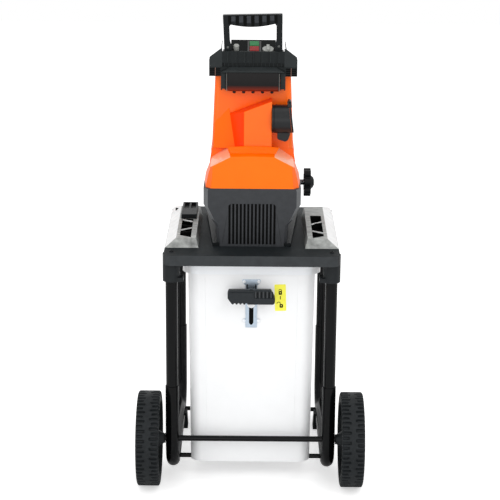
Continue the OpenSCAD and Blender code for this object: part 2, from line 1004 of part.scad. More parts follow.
button_well = button_low + button_travel + 2 * clear;
reset_x = -35;
reset_v = 16.5;
reset_rise = 5;
reset_d = 12;
dial_x = 30;
dial_v = 14;
dial_d = 23;
dial_h = 8;
spindle_d = 6;
spindle_l = 8;

module at_head() {
    translate([0, 0, chute_top - deck_z])
        children();
}

// A thin slice of the head at a place along it, for an inset and an easing of the inner bevel
module head_slice(y, inset, ease) {
    fall = head_fall * (y - head_front) / head_l;
    shoulder_z = max(inset + over, head_h - head_shoulder - ease - fall);
    at_head()
        along_y(y, skin)
            mirrored_outline([[head_w / 2 - inset, inset], [head_w / 2 - inset, shoulder_z],
                [head_w / 2 - head_bevel - ease, head_h - inset - fall]]);
}

// The head's outer form, which falls to the rear, or its hollow
module head_form(front, rear, inset, ease) {
    hull() {
        head_slice(front, inset, ease);
        head_slice(rear - skin, inset, ease);
    }
}

// The middle of the head, level to behind the carry handle
module head_middle() {
    rear = head_front + head_l;
    translate([-step_half, 0, chute_top])
        rotate([90, 0, 90])
            linear_extrude(2 * step_half)
                polygon([[head_front, 0], [rear, 0], [rear, head_h - head_fall], [wing_y, head_h],
                    [head_front, head_h]]);
}

// The lip over the front cover, narrower at its top
module head_lip() {
    intersection() {
        translate([-lip_half, head_front, chute_top])
            rotate([90, 0, 90])
                linear_extrude(2 * lip_half)
                    polygon([[0, lip_low], [-lip_out, lip_low], [-lip_out, lip_low + lip_edge],
                        [0, lip_high]]);
        at_head()
            along_y(head_front - lip_out - over, lip_out + over)
                mirrored_outline([[lip_half, lip_low], [lip_top_half, lip_high]]);
    }
}

// The panel's plan grown by a gap, wide behind the carry handle and narrow between its legs
module panel_plan(gap) {
    translate([-panel_half - gap, panel_y - gap])
        square([2 * (panel_half + gap), panel_l + 2 * gap]);
    translate([-panel_wing - gap, wing_y - gap])
        square([2 * (panel_wing + gap), panel_y + panel_l - wing_y + 2 * gap]);
}

module hopper_head() {
    flute_w = 4;
    color("#2b2d30")
        difference() {
            union() {
                head_form(head_front, head_front + head_l, 0, 0);
                head_middle();
                head_lip();
            }
            head_form(head_front + 2 * head_wall, head_front + head_l - head_wall, head_wall, bevel_ease);
            translate([shell_t - chute_top_w / 2, main_front + shell_t, chute_top - over])
                cube([chute_top_w - 2 * shell_t, chute_l - 2 * shell_t, head_wall + 2 * over]);
            translate([shell_t - chute_top_w / 2, head_front + feed_start, chute_top + head_wall])
                cube([chute_top_w - 2 * shell_t, head_l - feed_start - 2 * head_wall, head_h]);
            translate([0, 0, head_top - panel_drop - over])
                linear_extrude(2 * panel_drop)
                    panel_plan(clear);
            for (i = [0 : flute_count - 1])
                translate([(i - (flute_count - 1) / 2) * flute_pitch - flute_w / 2, head_front - over,
                        chute_top + groove_high + over])
                    cube([flute_w, 2 * over, head_h - groove_high - 4 * over]);
            translate([-lip_half, head_front - over, chute_top + lip_high])
                cube([2 * lip_half, groove_d + over, groove_high - lip_high]);
            for (side = [-1, 1], i = [0 : rib_count - 1])
                on_side(side)
                    translate([lip_half + rib_pitch, head_front - over, chute_top + over + i * rib_pitch])
                        cube([head_w / 2 - lip_half - 1.5 * rib_pitch, 2.5 * over, rib_pitch / 2]);
        }
}

module front_cover() {
    bracket_w = 11;
    bracket_cut = 3;
    peg_h = 4;
    peg_low = chute_top - cover_h - peg_h;
    color("#141516") {
        translate([-cover_half, head_front - cover_out, chute_top - cover_h])
            cube([2 * cover_half, cover_out + main_front - head_front, cover_h]);
        translate([-cover_half, head_front - cover_out, chute_top])
            cube([2 * cover_half, cover_out, lip_low]);
        for (side = [-1, 1])
            on_side(side)
                translate([cover_half, head_front, chute_top - cover_h + bracket_cut])
                    cube([bracket_w, main_front - head_front, cover_h - bracket_cut]);
        for (i = [0 : peg_count - 1])
            translate([(i - (peg_count - 1) / 2) * peg_pitch, head_front - cover_out / 2, peg_low])
                cylinder(d = peg_d, h = peg_h);
    }
}

module carry_handle() {
    corner_r = 5;
    color("#1d1f21")
        translate([0, grip_y + grip_depth / 2, head_top])
            rotate([90, 0, 0])
                difference() {
                    linear_extrude(grip_depth) {
                        difference() {
                            translate([0, grip_h / 2])
                                rounded_rect(grip_w, grip_h, corner_r);
                            translate([grip_leg_w - grip_w / 2, -over])
                                square([grip_w - 2 * grip_leg_w, grip_h - grip_d + over]);
                        }
                        for (side = [-1, 1])
                            translate([side * grip_screw_x - grip_foot_w / 2, 0])
                                square([grip_foot_w, grip_foot_h]);
                    }
                    for (side = [-1, 1])
                        translate([side * grip_screw_x, grip_foot_h / 2, -over])
                            cylinder(d = grip_screw_d + 2 * slip, h = grip_depth + 2 * over);
                }
}

module case_screws() {
    color("#d3d7da") {
        for (side = [-1, 1])
            on_side(side)
                translate([leg_x, axle_y, deck_z])
                    pan_head(screw_head_d, screw_head_h);
        for (side = [-1, 1])
            translate([side * grip_screw_x, grip_y - grip_depth / 2, head_top + grip_foot_h / 2])
                rotate([90, 0, 0]) {
                    pan_head(screw_head_d, screw_head_h);
                    translate([0, 0, -grip_depth])
                        cylinder(d = grip_screw_d, h = grip_depth);
                }
    }
}

// Places its children on the sloping panel: local Y up the slope and local Z out of the panel
module on_panel() {
    translate([0, panel_y, head_top + panel_low])
        rotate([panel_tilt, 0, 0])
            children();
}

// A square block for a button, or its well for a gap, from a depth to a height over the panel
module button_block(v, gap, low, high) {
    on_panel()
        translate([switch_x - button_w / 2 - gap, v - gap, -low])
            cube([button_w + 2 * gap, button_w + 2 * gap, low + high]);
}

module control_panel() {
    color("#323538")
        difference() {
            intersection() {
                translate([0, 0, head_top - panel_drop])
                    linear_extrude(2 * panel_drop + panel_rise)
                        panel_plan(0);
                translate([-panel_wing, panel_y, head_top])
                    rotate([90, 0, 90])
                        linear_extrude(2 * panel_wing)
                            polygon([[0, -panel_drop], [panel_l, -panel_drop],
                                [panel_l, panel_low + panel_rise], [0, panel_low]]);
            }
            for (v = [off_v, on_v])
                button_block(v, clear, button_well, button_top);
            on_panel() {
                translate([reset_x, reset_v, -button_well])
                    cylinder(d = reset_d + 2 * clear, h = 2 * button_well);
                translate([dial_x, dial_v, -spindle_l])
                    cylinder(d = spindle_d + 2 * run_fit, h = 2 * spindle_l);
            }
        }
}

module switch_frame() {
    color("#17181a")
        difference() {
            on_panel()
                translate([switch_x - button_w / 2 - frame_edge, off_v - frame_edge, 0])
                    cube([button_w + 2 * frame_edge, 2 * button_w + button_gap + 2 * frame_edge, frame_t]);
            for (v = [off_v, on_v])
                button_block(v, clear, over, button_top);
        }
}

module on_button() {
    color("#3f8f5f")
        button_block(on_v, 0, button_low, button_top);
}

module off_button() {
    color("#b03434")
        button_block(off_v, 0, button_low, button_top);
}

module reset_button() {
    reset_bevel = 2;
    reset_h = button_low + button_top + reset_rise + reset_bevel;
    color("#b9bdbf")
        on_panel()
            translate([reset_x, reset_v, -button_low])
                rotate_extrude()
                    polygon([[0, 0], [reset_d / 2, 0], [reset_d / 2, reset_h - reset_bevel],
                        [reset_d / 2 - reset_bevel, reset_h], [0, reset_h]]);
}

module direction_knob() {
    ridge_w = 6;
    color("#a9adaf")
        on_panel()
            translate([dial_x, dial_v, 0]) {
                translate([0, 0, 2 * clear - spindle_l])
                    cylinder(d = spindle_d, h = spindle_l);
                translate([0, 0, clear])
                    cylinder(d = dial_d, h = dial_h / 2);
                translate([-ridge_w / 2, -dial_d / 2 + 1, clear])
                    cube([ridge_w, dial_d - 2, dial_h]);
            }
}

// Crushing gear, worked out
drum_x = -14;
drum_rise = 81;
drum_setback = 94;
drum_z = deck_z + drum_rise;
drum_y = main_front + drum_setback;
outlet_spare = 20;
outlet_w = drum_d + outlet_spare;
plate_t = 6;
drum_gap = 1;
core_r = drum_d / 2 - 8;
motor_x = 0;
motor_rise = 70;
motor_z = deck_z + motor_rise;
motor_od = 114;
motor_wall = 4;
stator_id = 62;
rotor_d = 60;
flange_setback = 34;
flange_y = main_front + flange_setback;
flange_t = 8;
flange_half = 70;
flange_h = 150;
stator_l = 66;
stator_y = flange_y - 6 - stator_l;
cap_y = stator_y - 8;
end_cap_t = 7;
fan_d = 96;
fan_l = 9;
fan_y = cap_y - end_cap_t - fan_l - 2;
first_y = flange_y + flange_t + 3;
first_l = 14;
second_y = first_y + first_l + 6;
second_l = 18;
inter_shaft_d = 10;
drum_bearing_d = 42;
motor_bearing_d = 28;
crusher_y = drum_y - drum_gap - plate_t;
crusher_l = drum_l + 2 * drum_gap + 2 * plate_t;
drum_margin = 14;
crusher_left = drum_x - drum_d / 2 - drum_margin;
crusher_right = 70;
crusher_h = 150;
press_gap = 0.7;
press_x = drum_x + drum_d / 2 + screw_turns * screw_pitch + press_gap;
press_t = 12;
press_h = 100;
screw_y = drum_y + drum_l / 2;
screw_z = drum_z + 6;
tip_d = screw_d - 2;
tip_l = 8;
star_in = main_w / 2 + boss_out + screw_turns * screw_pitch + 7;
star_t = 15;
star_boss = 6;

// Where the intermediate shaft lies: one centre distance from each of the other two shafts
first_reach = first_module * (pinion_teeth + first_teeth) / 2;
second_reach = second_module * (pinion_teeth + output_teeth) / 2;
shaft_gap = norm([drum_x - motor_x, drum_z - motor_z]);
shaft_way = [drum_x - motor_x, drum_z - motor_z] / shaft_gap;
reach_along = (first_reach ^ 2 - second_reach ^ 2 + shaft_gap ^ 2) / (2 * shaft_gap);
reach_across = sqrt(first_reach ^ 2 - reach_along ^ 2);
inter_x = motor_x + reach_along * shaft_way[0] + reach_across * shaft_way[1];
inter_z = motor_z + reach_along * shaft_way[1] - reach_across * shaft_way[0];
first_angle = atan2(inter_z - motor_z, inter_x - motor_x);
second_angle = atan2(drum_z - inter_z, drum_x - inter_x);

// Gear teeth: involute flanks with a short addendum and play between the flanks
pressure = 25;
addendum = 0.8;
dedendum = 1.05;
play = 0.12;
flank_steps = 5;

function roll(base, r) =
    let (t = sqrt(max(0, (r / base) ^ 2 - 1)))
    t * 180 / PI - atan(t);

function flank(m, teeth, r) =
    let (pitch_r = m * teeth / 2, base = pitch_r * cos(pressure))
    90 / teeth - play * m / pitch_r * 180 / PI + roll(base, pitch_r) - roll(base, r);

function polar(r, angle) = [r * cos(angle), r * sin(angle)];

function tooth(m, teeth, centre) =
    let (pitch_r = m * teeth / 2, tip = pitch_r + addendum * m, root = pitch_r - dedendum * m,
        low = max(root, pitch_r * cos(pressure)),
        radii = concat([root], [for (i = [0 : flank_steps]) low + (tip - low) * i / flank_steps]),
        last = len(radii) - 1)
    concat([for (i = [0 : last]) polar(radii[i], centre - flank(m, teeth, max(low, radii[i])))],
        [for (i = [last : -1 : 0]) polar(radii[i], centre + flank(m, teeth, max(low, radii[i])))]);

module gear_outline(m, teeth, first) {
    polygon([for (i = [0 : teeth - 1]) each tooth(m, teeth, first + i * 360 / teeth)]);
}

// Extrudes an outline along +Y from a start, around a shaft
module round_shaft(x, z, start, length) {
    translate([x, start + length, z])
        rotate([90, 0, 0])
            linear_extrude(length)
                children();
}

module pressure_plate() {
    color("#8d9296")
        difference() {
            translate([press_x, drum_y - drum_gap + clear, screw_z - press_h / 2])
                cube([press_t, drum_l + 2 * drum_gap - 2 * clear, press_h]);
            translate([press_x + press_t - tip_l, screw_y, screw_z])
                rotate([0, 90, 0])
                    cylinder(d = tip_d + 2 * run_fit, h = tip_l + over);
        }
}

module adjuster_screw() {
    tip_x = press_x + press_t - tip_l + clear;
    shank_x = press_x + press_t + clear;
    color("#aeb4b8")
        translate([0, screw_y, screw_z])
            rotate([0, 90, 0]) {
                translate([0, 0, tip_x])
                    cylinder(d = tip_d, h = shank_x - tip_x);
                translate([0, 0, shank_x])
                    cylinder(d = screw_d, h = star_in + star_t - shank_x);
            }
}

module adjuster_knob() {
    lobes = 7;
    lobe_d = 17;
    color("#242628")
        difference() {
            translate([star_in, screw_y, screw_z])
                rotate([0, 90, 0]) {
                    linear_extrude(star_t) {
                        circle(d = star_d - lobe_d);
                        for (i = [0 : lobes - 1])
                            rotate([0, 0, i * 360 / lobes])
                                translate([(star_d - lobe_d) / 2, 0])
                                    circle(d = lobe_d);
                    }
                    translate([0, 0, star_t])
                        cylinder(d1 = star_d / 2, d2 = star_d / 3, h = star_boss);
                }
            translate([0, screw_y, screw_z])
                rotate([0, 90, 0])
                    cylinder(d = screw_d + 2 * run_fit, h = star_in + star_t + run_fit);
        }
}

module crusher_housing() {
    color("#9a9fa3")
        difference() {
            union() {
                for (y = [crusher_y, crusher_y + crusher_l - plate_t])
                    translate([crusher_left, y, deck_z])
                        cube([crusher_right - crusher_left, plate_t, crusher_h]);
                translate([crusher_left, crusher_y, deck_z])
                    cube([plate_t, crusher_l, crusher_h]);
                translate([crusher_right - 2 * plate_t, crusher_y, deck_z])
                    cube([2 * plate_t, crusher_l, 2 * plate_t]);
            }
            round_shaft(drum_x, drum_z, crusher_y - over, crusher_l + 2 * over)
                circle(d = drum_bearing_d + 2 * slip);
            round_shaft(inter_x, inter_z, crusher_y - over, plate_t + 2 * over)
                circle(d = inter_shaft_d + 2 * run_fit);
        }
}

module crushing_drum() {
    blade = 360 / drum_blades;
    color("#7d8286")
        round_shaft(drum_x, drum_z, drum_y, drum_l)
            difference() {
                polygon([for (i = [0 : drum_blades - 1])
                    each [polar(core_r, i * blade), polar(core_r, (i + 0.55) * blade),
                        polar(drum_d / 2, (i + 0.6) * blade), polar(drum_d / 2, (i + 0.75) * blade)]]);
                circle(d = drum_shaft_d + 2 * run_fit);
            }
}

module drum_shaft() {
    color("#a5abaf")
        round_shaft(drum_x, drum_z, second_y - 2, crusher_y + crusher_l - second_y + 2)
            circle(d = drum_shaft_d);
}

module output_gear() {
    color("#8b8378")
        round_shaft(drum_x, drum_z, second_y, second_l)
            difference() {
                gear_outline(second_module, output_teeth, second_angle + 180 + 180 / output_teeth);
                circle(d = drum_shaft_d + 2 * run_fit);
            }
}

module intermediate_gear() {
    color("#8b8378") {
        round_shaft(inter_x, inter_z, first_y, first_l)
            gear_outline(first_module, first_teeth, first_angle + 180 + 180 / first_teeth);
        round_shaft(inter_x, inter_z, second_y, second_l)
            gear_outline(second_module, pinion_teeth, second_angle);
        round_shaft(inter_x, inter_z, flange_y + clear, crusher_y + plate_t - flange_y - 2 * clear)
            circle(d = inter_shaft_d);
    }
}

module rotor() {
    core_l = stator_l - 6;
    color("#9ea3a6") {
        round_shaft(motor_x, motor_z, fan_y - 2, first_y + first_l - fan_y + 2)
            circle(d = motor_shaft_d);
        round_shaft(motor_x, motor_z, stator_y + 3, core_l)
            circle(d = rotor_d);
        round_shaft(motor_x, motor_z, first_y, first_l)
            gear_outline(first_module, pinion_teeth, first_angle);
    }
}

module stator() {
    color("#6f4a2f")
        round_shaft(motor_x, motor_z, stator_y, stator_l)
            difference() {
                circle(d = motor_od - 2 * slip);
                circle(d = stator_id);
            }
}

module motor_housing() {
    color("#a2a7ab")
        difference() {
            union() {
                translate([-flange_half, flange_y, deck_z])
                    cube([2 * flange_half, flange_t, flange_h]);
                round_shaft(motor_x, motor_z, cap_y, flange_y - cap_y)
                    circle(d = motor_od + 2 * motor_wall);
            }
            round_shaft(motor_x, motor_z, cap_y - over, flange_y - cap_y + over)
                circle(d = motor_od);
            round_shaft(motor_x, motor_z, flange_y - over, flange_t + 2 * over)
                circle(d = motor_bearing_d + 2 * slip);
            round_shaft(inter_x, inter_z, flange_y, flange_t + over)
                circle(d = inter_shaft_d + 2 * run_fit);
        }
}

module motor_end_cap() {
    windows = 6;
    window_d = 16;
    color("#a2a7ab")
        round_shaft(motor_x, motor_z, cap_y - end_cap_t, end_cap_t)
            difference() {
                circle(d = motor_od + 2 * motor_wall);
                circle(d = motor_bearing_d + 2 * slip);
                for (i = [0 : windows - 1])
                    rotate([0, 0, i * 360 / windows])
                        translate([(motor_od + motor_bearing_d) / 4, 0])
                            circle(d = window_d);
            }
}

module cooling_fan() {
    blades = 9;
    hub_d = 26;
    blade_t = 2;
    color("#3c4043")
        round_shaft(motor_x, motor_z, fan_y, fan_l)
            difference() {
                union() {
                    circle(d = hub_d);
                    for (i = [0 : blades - 1])
                        rotate([0, 0, i * 360 / blades])
                            translate([hub_d / 4, -blade_t / 2])
                                square([fan_d / 2 - hub_d / 4, blade_t]);
                }
                circle(d = motor_shaft_d + 2 * run_fit);
            }
}

// A bearing ring around a shaft
module bearing(x, z, start, length, shaft_d, outer_d) {
    round_shaft(x, z, start, length)
        difference() {
            circle(d = outer_d);
            circle(d = shaft_d + 2 * run_fit);
        }
}

module shaft_bearings() {
    color("#c0c5c9") {
        for (y = [crusher_y, crusher_y + crusher_l - plate_t])
            bearing(drum_x, drum_z, y, plate_t, drum_shaft_d, drum_bearing_d);
        bearing(motor_x, motor_z, flange_y, flange_t, motor_shaft_d, motor_bearing_d);
        bearing(motor_x, motor_z, cap_y - end_cap_t, end_cap_t, motor_shaft_d, motor_bearing_d);
    }
}

lower_frame(-1);  // left_lower_frame
lower_frame(1);  // right_lower_frame
leg(-1, axle_y);  // left_front_leg
leg(1, axle_y);  // right_front_leg
leg(-1, rear_leg_y);  // left_rear_leg
leg(1, rear_leg_y);  // right_rear_leg
cross_bar(front_bar_y);  // front_cross_bar
cross_bar(rear_bar_y);  // rear_cross_bar
wheel_axle();
wheel(-1);  // left_wheel
wheel(1);  // right_wheel
hub_cap(-1);  // left_hub_cap
hub_cap(1);  // right_hub_cap
axle_washers();
foot(-1);  // left_foot
foot(1);  // right_foot
chassis();
case_screws();
side_rail(-1, left_window);  // left_side_rail
side_rail(1, right_window);  // right_side_rail
tool_clip();
collection_box();
lock_bracket();
lock_screws();
lock_label();
lock_handle();
lock_tongue();
interlock_switch();
motor_hood();
vent_cover();
main_housing();
feed_chute();
cable_duct();
hopper_head();
front_cover();
carry_handle();
control_panel();
switch_frame();
on_button();
off_button();
reset_button();
direction_knob();
inlet_socket();
inlet_pins();
inlet_flap();
flap_pin();
adjuster_knob();
adjuster_screw();
pressure_plate();
crusher_housing();
crushing_drum();
drum_shaft();
output_gear();
intermediate_gear();
rotor();
stator();
motor_housing();
motor_end_cap();
cooling_fan();
shaft_bearings();
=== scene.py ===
"""Looks of the garden shredder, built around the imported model. Metres, +Z up, the motor side faces -Y."""
import json
import math

import bmesh
import bpy
from mathutils import Matrix, Vector


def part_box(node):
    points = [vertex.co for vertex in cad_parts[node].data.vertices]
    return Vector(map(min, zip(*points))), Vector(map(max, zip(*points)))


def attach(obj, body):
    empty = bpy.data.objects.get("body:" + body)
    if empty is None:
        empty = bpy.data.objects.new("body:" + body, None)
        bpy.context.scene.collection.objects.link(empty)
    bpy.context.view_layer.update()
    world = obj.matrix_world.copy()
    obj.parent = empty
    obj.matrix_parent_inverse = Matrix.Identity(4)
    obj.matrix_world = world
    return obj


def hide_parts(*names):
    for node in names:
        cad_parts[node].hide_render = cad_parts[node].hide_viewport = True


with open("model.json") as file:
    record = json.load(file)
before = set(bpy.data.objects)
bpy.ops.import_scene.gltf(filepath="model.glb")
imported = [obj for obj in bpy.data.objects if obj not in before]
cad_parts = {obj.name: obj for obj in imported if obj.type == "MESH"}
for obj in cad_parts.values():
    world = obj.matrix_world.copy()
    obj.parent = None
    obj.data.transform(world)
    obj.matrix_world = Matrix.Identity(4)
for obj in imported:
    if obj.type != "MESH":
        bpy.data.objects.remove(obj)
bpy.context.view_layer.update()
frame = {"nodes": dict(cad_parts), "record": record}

nodes = frame["nodes"]
scene = bpy.context.scene
SIDES = ((-1, "left"), (1, "right"))


def tone(r, g, b):
    """A colour written as it looks on a screen, from 0 to 255, as the linear one that a shader takes."""
    def linear(v):
        v = v / 255
        return v / 12.92 if v <= 0.04045 else ((v + 0.055) / 1.055) ** 2.4
    return (linear(r), linear(g), linear(b), 1.0)


# Materials
BUMP_DEPTH = 0.0006
LIGHT_DEPTH = 0.004


def add_node(tree, kind, **inputs):
    """A new shader node; each keyword sets the input of that name, with _ in place of a space."""
    made = tree.nodes.new("ShaderNode" + kind)
    for name, value in inputs.items():
        made.inputs[name.replace("_", " ")].default_value = value
    return made


def add_ramp(tree, low, high, start=0.0, end=1.0):
    """A colour ramp from a low colour at one position to a high colour at another."""
    ramp = add_node(tree, "ValToRGB")
    for element, position, colour in zip(ramp.color_ramp.elements, (start, end), (low, high)):
        element.position = position
        element.color = colour
    return ramp


def material(name, colour, rough, vary=0.1, spots=40.0, grain=0.0, grain_size=900.0, metal=0.0, second=None,
        stretch=(1, 1, 1), rough_vary=0.06, subsurface=0.0, specular=0.5):
    """A moulded or metal surface: patchy colour, uneven gloss and a fine grain."""
    mat = bpy.data.materials.new(name)
    mat.use_nodes = True
    tree = mat.node_tree
    link = tree.links.new
    shader = tree.nodes["Principled BSDF"]
    shader.inputs["Metallic"].default_value = metal
    shader.inputs["Specular IOR Level"].default_value = specular
    if subsurface:
        shader.inputs["Subsurface Weight"].default_value = subsurface
        shader.inputs["Subsurface Radius"].default_value = (1.0, 1.0, 1.0)
        shader.inputs["Subsurface Scale"].default_value = LIGHT_DEPTH
    place = add_node(tree, "TexCoord")
    spread = add_node(tree, "Mapping", Scale=stretch)
    patches = add_node(tree, "TexNoise", Scale=spots, Detail=5.0)
    low = [c * (1 - vary) for c in colour[:3]]
    high = second[:3] if second else [min(1.0, c * (1 + vary)) for c in colour[:3]]
    ramp = add_ramp(tree, (*low, 1), (*high, 1), 0.3, 0.7)
    gloss = add_node(tree, "MapRange", To_Min=max(0.02, rough - rough_vary),
        To_Max=min(1.0, rough + rough_vary))
    link(place.outputs["Object"], spread.inputs["Vector"])
    link(spread.outputs["Vector"], patches.inputs["Vector"])
    link(patches.outputs["Fac"], ramp.inputs["Fac"])
    link(ramp.outputs["Color"], shader.inputs["Base Color"])
    link(patches.outputs["Fac"], gloss.inputs["Value"])
    link(gloss.outputs["Result"], shader.inputs["Roughness"])
    if grain:
        fine = add_node(tree, "TexNoise", Scale=grain_size, Detail=3.0)
        bump = add_node(tree, "Bump", Strength=grain, Distance=BUMP_DEPTH)
        link(spread.outputs["Vector"], fine.inputs["Vector"])
        link(fine.outputs["Fac"], bump.inputs["Height"])
        link(bump.outputs["Normal"], shader.inputs["Normal"])
    return mat


def fading(name, low, high, start, end, rough, specular):
    """A smooth surface whose colour changes with height, from low at one height to high at another."""
    mat = material(name, high, rough, spots=60, rough_vary=0.02, specular=specular)
    tree = mat.node_tree
    link = tree.links.new
    place = add_node(tree, "TexCoord")
    parts = add_node(tree, "SeparateXYZ")
    height = add_node(tree, "MapRange", From_Min=start, From_Max=end)
    ramp = add_ramp(tree, low, high)
    link(place.outputs["Object"], parts.inputs["Vector"])
    link(parts.outputs["Z"], height.inputs["Value"])
    link(height.outputs["Result"], ramp.inputs["Fac"])
    link(ramp.outputs["Color"], tree.nodes["Principled BSDF"].inputs["Base Color"])
    return mat


RAIL_PATCHES = (1, 3, 1)
COVER_REFLECTION_FADE = (0.822, 0.836)
# Name, colour, roughness, variation of the colour, patches per metre, strength of the grain, grains per metre
M = {
    "tube": material("gloss_black_tube", tone(7, 8, 9), 0.15, 0.2, 90, 0.06, 500, specular=0.16),
    "wheel": material("wheel_black", tone(30, 33, 35), 0.5, 0.18, 120, 0.4, 1400, specular=0.16),
    "trim": material("trim_black", tone(20, 23, 25), 0.4, 0.15, 90, 0.25, 1500, specular=0.12),
    "deck": material("deck_black", tone(31, 34, 36), 0.45, 0.15, 70, 0.4, 1100, specular=0.16),
    "deck_top": material("deck_top_black", tone(31, 35, 37), 0.5, 0.15, 70, 0.4, 1100, specular=0.05),
    # A lighter copy of the deck's black for its front faces: painted light.
    "deck_face_painted_light": material("deck_front_painted_light", tone(54, 57, 59), 0.45, 0.12, 70, 0.4, 1100, specular=0.14),
    "zinc": material("zinc_plate", tone(188, 202, 216), 0.3, 0.05, 200, 0.06, 2200, metal=0.8),
    "rail": material("rail_grey", tone(118, 120, 118), 0.42, 0.15, 55, 0.15, second=tone(184, 187, 184),
        stretch=RAIL_PATCHES),
    # Pale grey for the rails' outer faces, where it is a painted sheen, and for the pale window ribs and tails.
    "rail_pale_and_painted_sheen": material("rail_pale_and_painted_sheen", tone(226, 228, 228), 0.4, 0.06, 55, second=tone(250, 251, 251),
        stretch=RAIL_PATCHES),
    "box": material("box_white", tone(248, 249, 250), 0.36, 0.015, 30, 0.1, 700, subsurface=0.08),
    "rim": material("box_rim_white", tone(247, 250, 254), 0.36, 0.02, 30, 0.1, 700, subsurface=0.08),
    "orange": material("orange_plastic", tone(255, 104, 10), 0.3, 0.04, 26, 0.06, 1300, specular=0.28),
    # A darker copy of the orange for the cable duct's left flank: painted shade.
    "orange_painted_shade": material("orange_shaded_side", tone(255, 64, 2), 0.3, 0.05, 26, 0.06, 1300, specular=0.05),
    # A slightly darker, less glossy copy of the orange for facets: painted shade.
    "orange_facet_painted_shade": material("orange_flat_facet_painted_shade", tone(255, 102, 0), 0.3, 0.04, 26, 0.06, 1300, specular=0.12),
    # A pale copy of the orange for the hood's upper side chamfers: a painted highlight.
    "orange_painted_highlight": material("orange_painted_highlight_edge", tone(255, 168, 132), 0.22, 0.05, 26, 0.06, 1300),
    "hood_orange": material("orange_hood", tone(255, 114, 6), 0.32, 0.03, 26, 0.06, 1300, specular=0.16),
    "hood": material("hood_black", tone(55, 57, 60), 0.42, 0.1, 80, 0.3, 1500, specular=0.2),
    # A lighter copy of the vent cover's black for its upper side facets: a painted highlight.
    "hood_painted_highlight": material("hood_painted_highlight_edge", tone(98, 100, 102), 0.36, 0.2, 60, 0.3, 1500, specular=0.3),
    # A darker black for the creases beside the grille: painted shade.
    "crease": material("crease_black", tone(32, 34, 36), 0.5, 0.1, 80, specular=0.25),
    "head": material("head_black", tone(26, 30, 31), 0.42, 0.15, 80, 0.3, 1300, specular=0.12),
    "wing": material("head_wing", tone(39, 43, 44), 0.42, 0.12, 80, 0.3, 1300, specular=0.14),
    # Greyish pink for the ribs under the head's wings: a painted reflection of the orange.
    "painted_orange_reflection": material("rib_painted_orange_reflection", tone(112, 84, 74), 0.4, 0.1, 200, specular=0.3),
    # The polished cover turns reddish towards its lower edge: a painted reflection of the orange below it.
    "cover": fading("polished_cover_painted_reflection", tone(132, 40, 16), tone(22, 20, 20), *COVER_REFLECTION_FADE, 0.1, 0.12),
    "gloss": material("polished_black", tone(20, 18, 18), 0.09, 0.15, 60, rough_vary=0.02, specular=0.4),
    "edge": material("dim_grey_edge", tone(92, 94, 92), 0.4, 0.15, 200, specular=0.2),
    # A lighter grey for the grip's raised pads: painted light.
    "pad_painted_light": material("grip_pad_painted_light", tone(46, 49, 53), 0.42, 0.2, 140, 0.3, 1600, specular=0.2),
    "panel": material("panel_grey", tone(15, 18, 18), 0.6, 0.12, 120, 0.25, 1600, specular=0.05),
    "green": material("button_green", tone(52, 124, 76), 0.45, 0.1, 200, 0.1, 1800, specular=0.12),
    "red": material("button_red", tone(142, 44, 44), 0.45, 0.1, 200, 0.1, 1800, specular=0.12),
    "silver": material("silver_grey", tone(158, 160, 156), 0.4, 0.1, 220, 0.1, 1800, metal=0.1, specular=0.25),
    "socket": material("inlet_black", tone(23, 25, 27), 0.34, 0.12, 120, 0.15, 1500, specular=0.3),
    "lock": material("lock_black", tone(37, 41, 44), 0.38, 0.12, 150, 0.25, 1500, specular=0.2),
    "rib": material("lock_rib_grey", tone(66, 68, 70), 0.4, 0.12, 150, 0.2, 1500, specular=0.15),
    "yellow": material("yellow_film", tone(255, 248, 84), 0.4, 0.02, 120, specular=0.3),
    # Near black for printed pictograms and dark parts, and as painted shade in the grip's gaps, the lock's
    # slot, the rails' windows, the cuts under the head's wings and behind the grille.
    "ink": material("label_ink_and_painted_shade", tone(10, 11, 11), 0.6, 0.1, 300, specular=0.06),
    "brass": material("plain_brass", tone(205, 178, 110), 0.25, 0.1, 200, metal=1.0),
    "steel": material("machined_steel", tone(165, 170, 175), 0.32, 0.12, 120, 0.15, 1600, metal=1.0,
        stretch=(1, 6, 1)),
    "alloy": material("cast_alloy", tone(160, 164, 168), 0.5, 0.1, 180, 0.5, 900, metal=0.9),
    "winding": material("copper_winding", tone(150, 84, 44), 0.4, 0.3, 400, metal=0.6, stretch=(1, 1, 8)),
    "fan": material("fan_black", tone(40, 42, 45), 0.5, 0.12, 150, 0.2, specular=0.3),
}
# The record's slots with the material of their CAD nodes, and further materials that new pieces take
SLOT_MATERIAL = {
    "tube_black": "tube", "wheel_black": "wheel", "trim_black": "trim", "chassis_black": "deck", "zinc": "zinc",
    "rail_grey": "rail", "box_white": "box", "label_yellow": "yellow", "orange": "orange", "hood_grey": "hood",
    "gloss_black": "gloss", "panel_grey": "panel", "green": "green", "red": "red", "silver_grey": "silver",
    "brass": "brass", "steel": "steel", "cast_alloy": "alloy", "winding": "winding", "fan_black": "fan",
}
FURTHER_MATERIALS = {
    "trim_black": ("ink", "lock", "rib", "socket"), "hood_grey": ("crease", "wing", "painted_orange_reflection"),
    "orange": ("hood_orange", "orange_facet_painted_shade"), "panel_grey": ("pad_painted_light", "edge"), "gloss_black": ("cover",),
    "rail_grey": ("rail_pale_and_painted_sheen",), "box_white": ("rim",),
}
MATERIAL_SLOT = {key: slot for slot, key in SLOT_MATERIAL.items()}
MATERIAL_SLOT.update({key: slot for slot, keys in FURTHER_MATERIALS.items() for key in keys})
NODE_SLOT = {s["node"]: s["material_slot"] for s in frame["record"]["subparts"]}
NODE_MATERIAL = {"hopper_head": "head", "flap_pin": "trim", "axle_washers": "tube", "inlet_flap": "socket"}

# Finishing of objects
WELD_GAP = 0.00001
FLAT_ANGLE = math.radians(0.5)
ROUND_ANGLE = math.radians(24)


def dress(obj, key):
    """Gives an object one material."""
    obj.data.materials.clear()
    obj.data.materials.append(M[key])


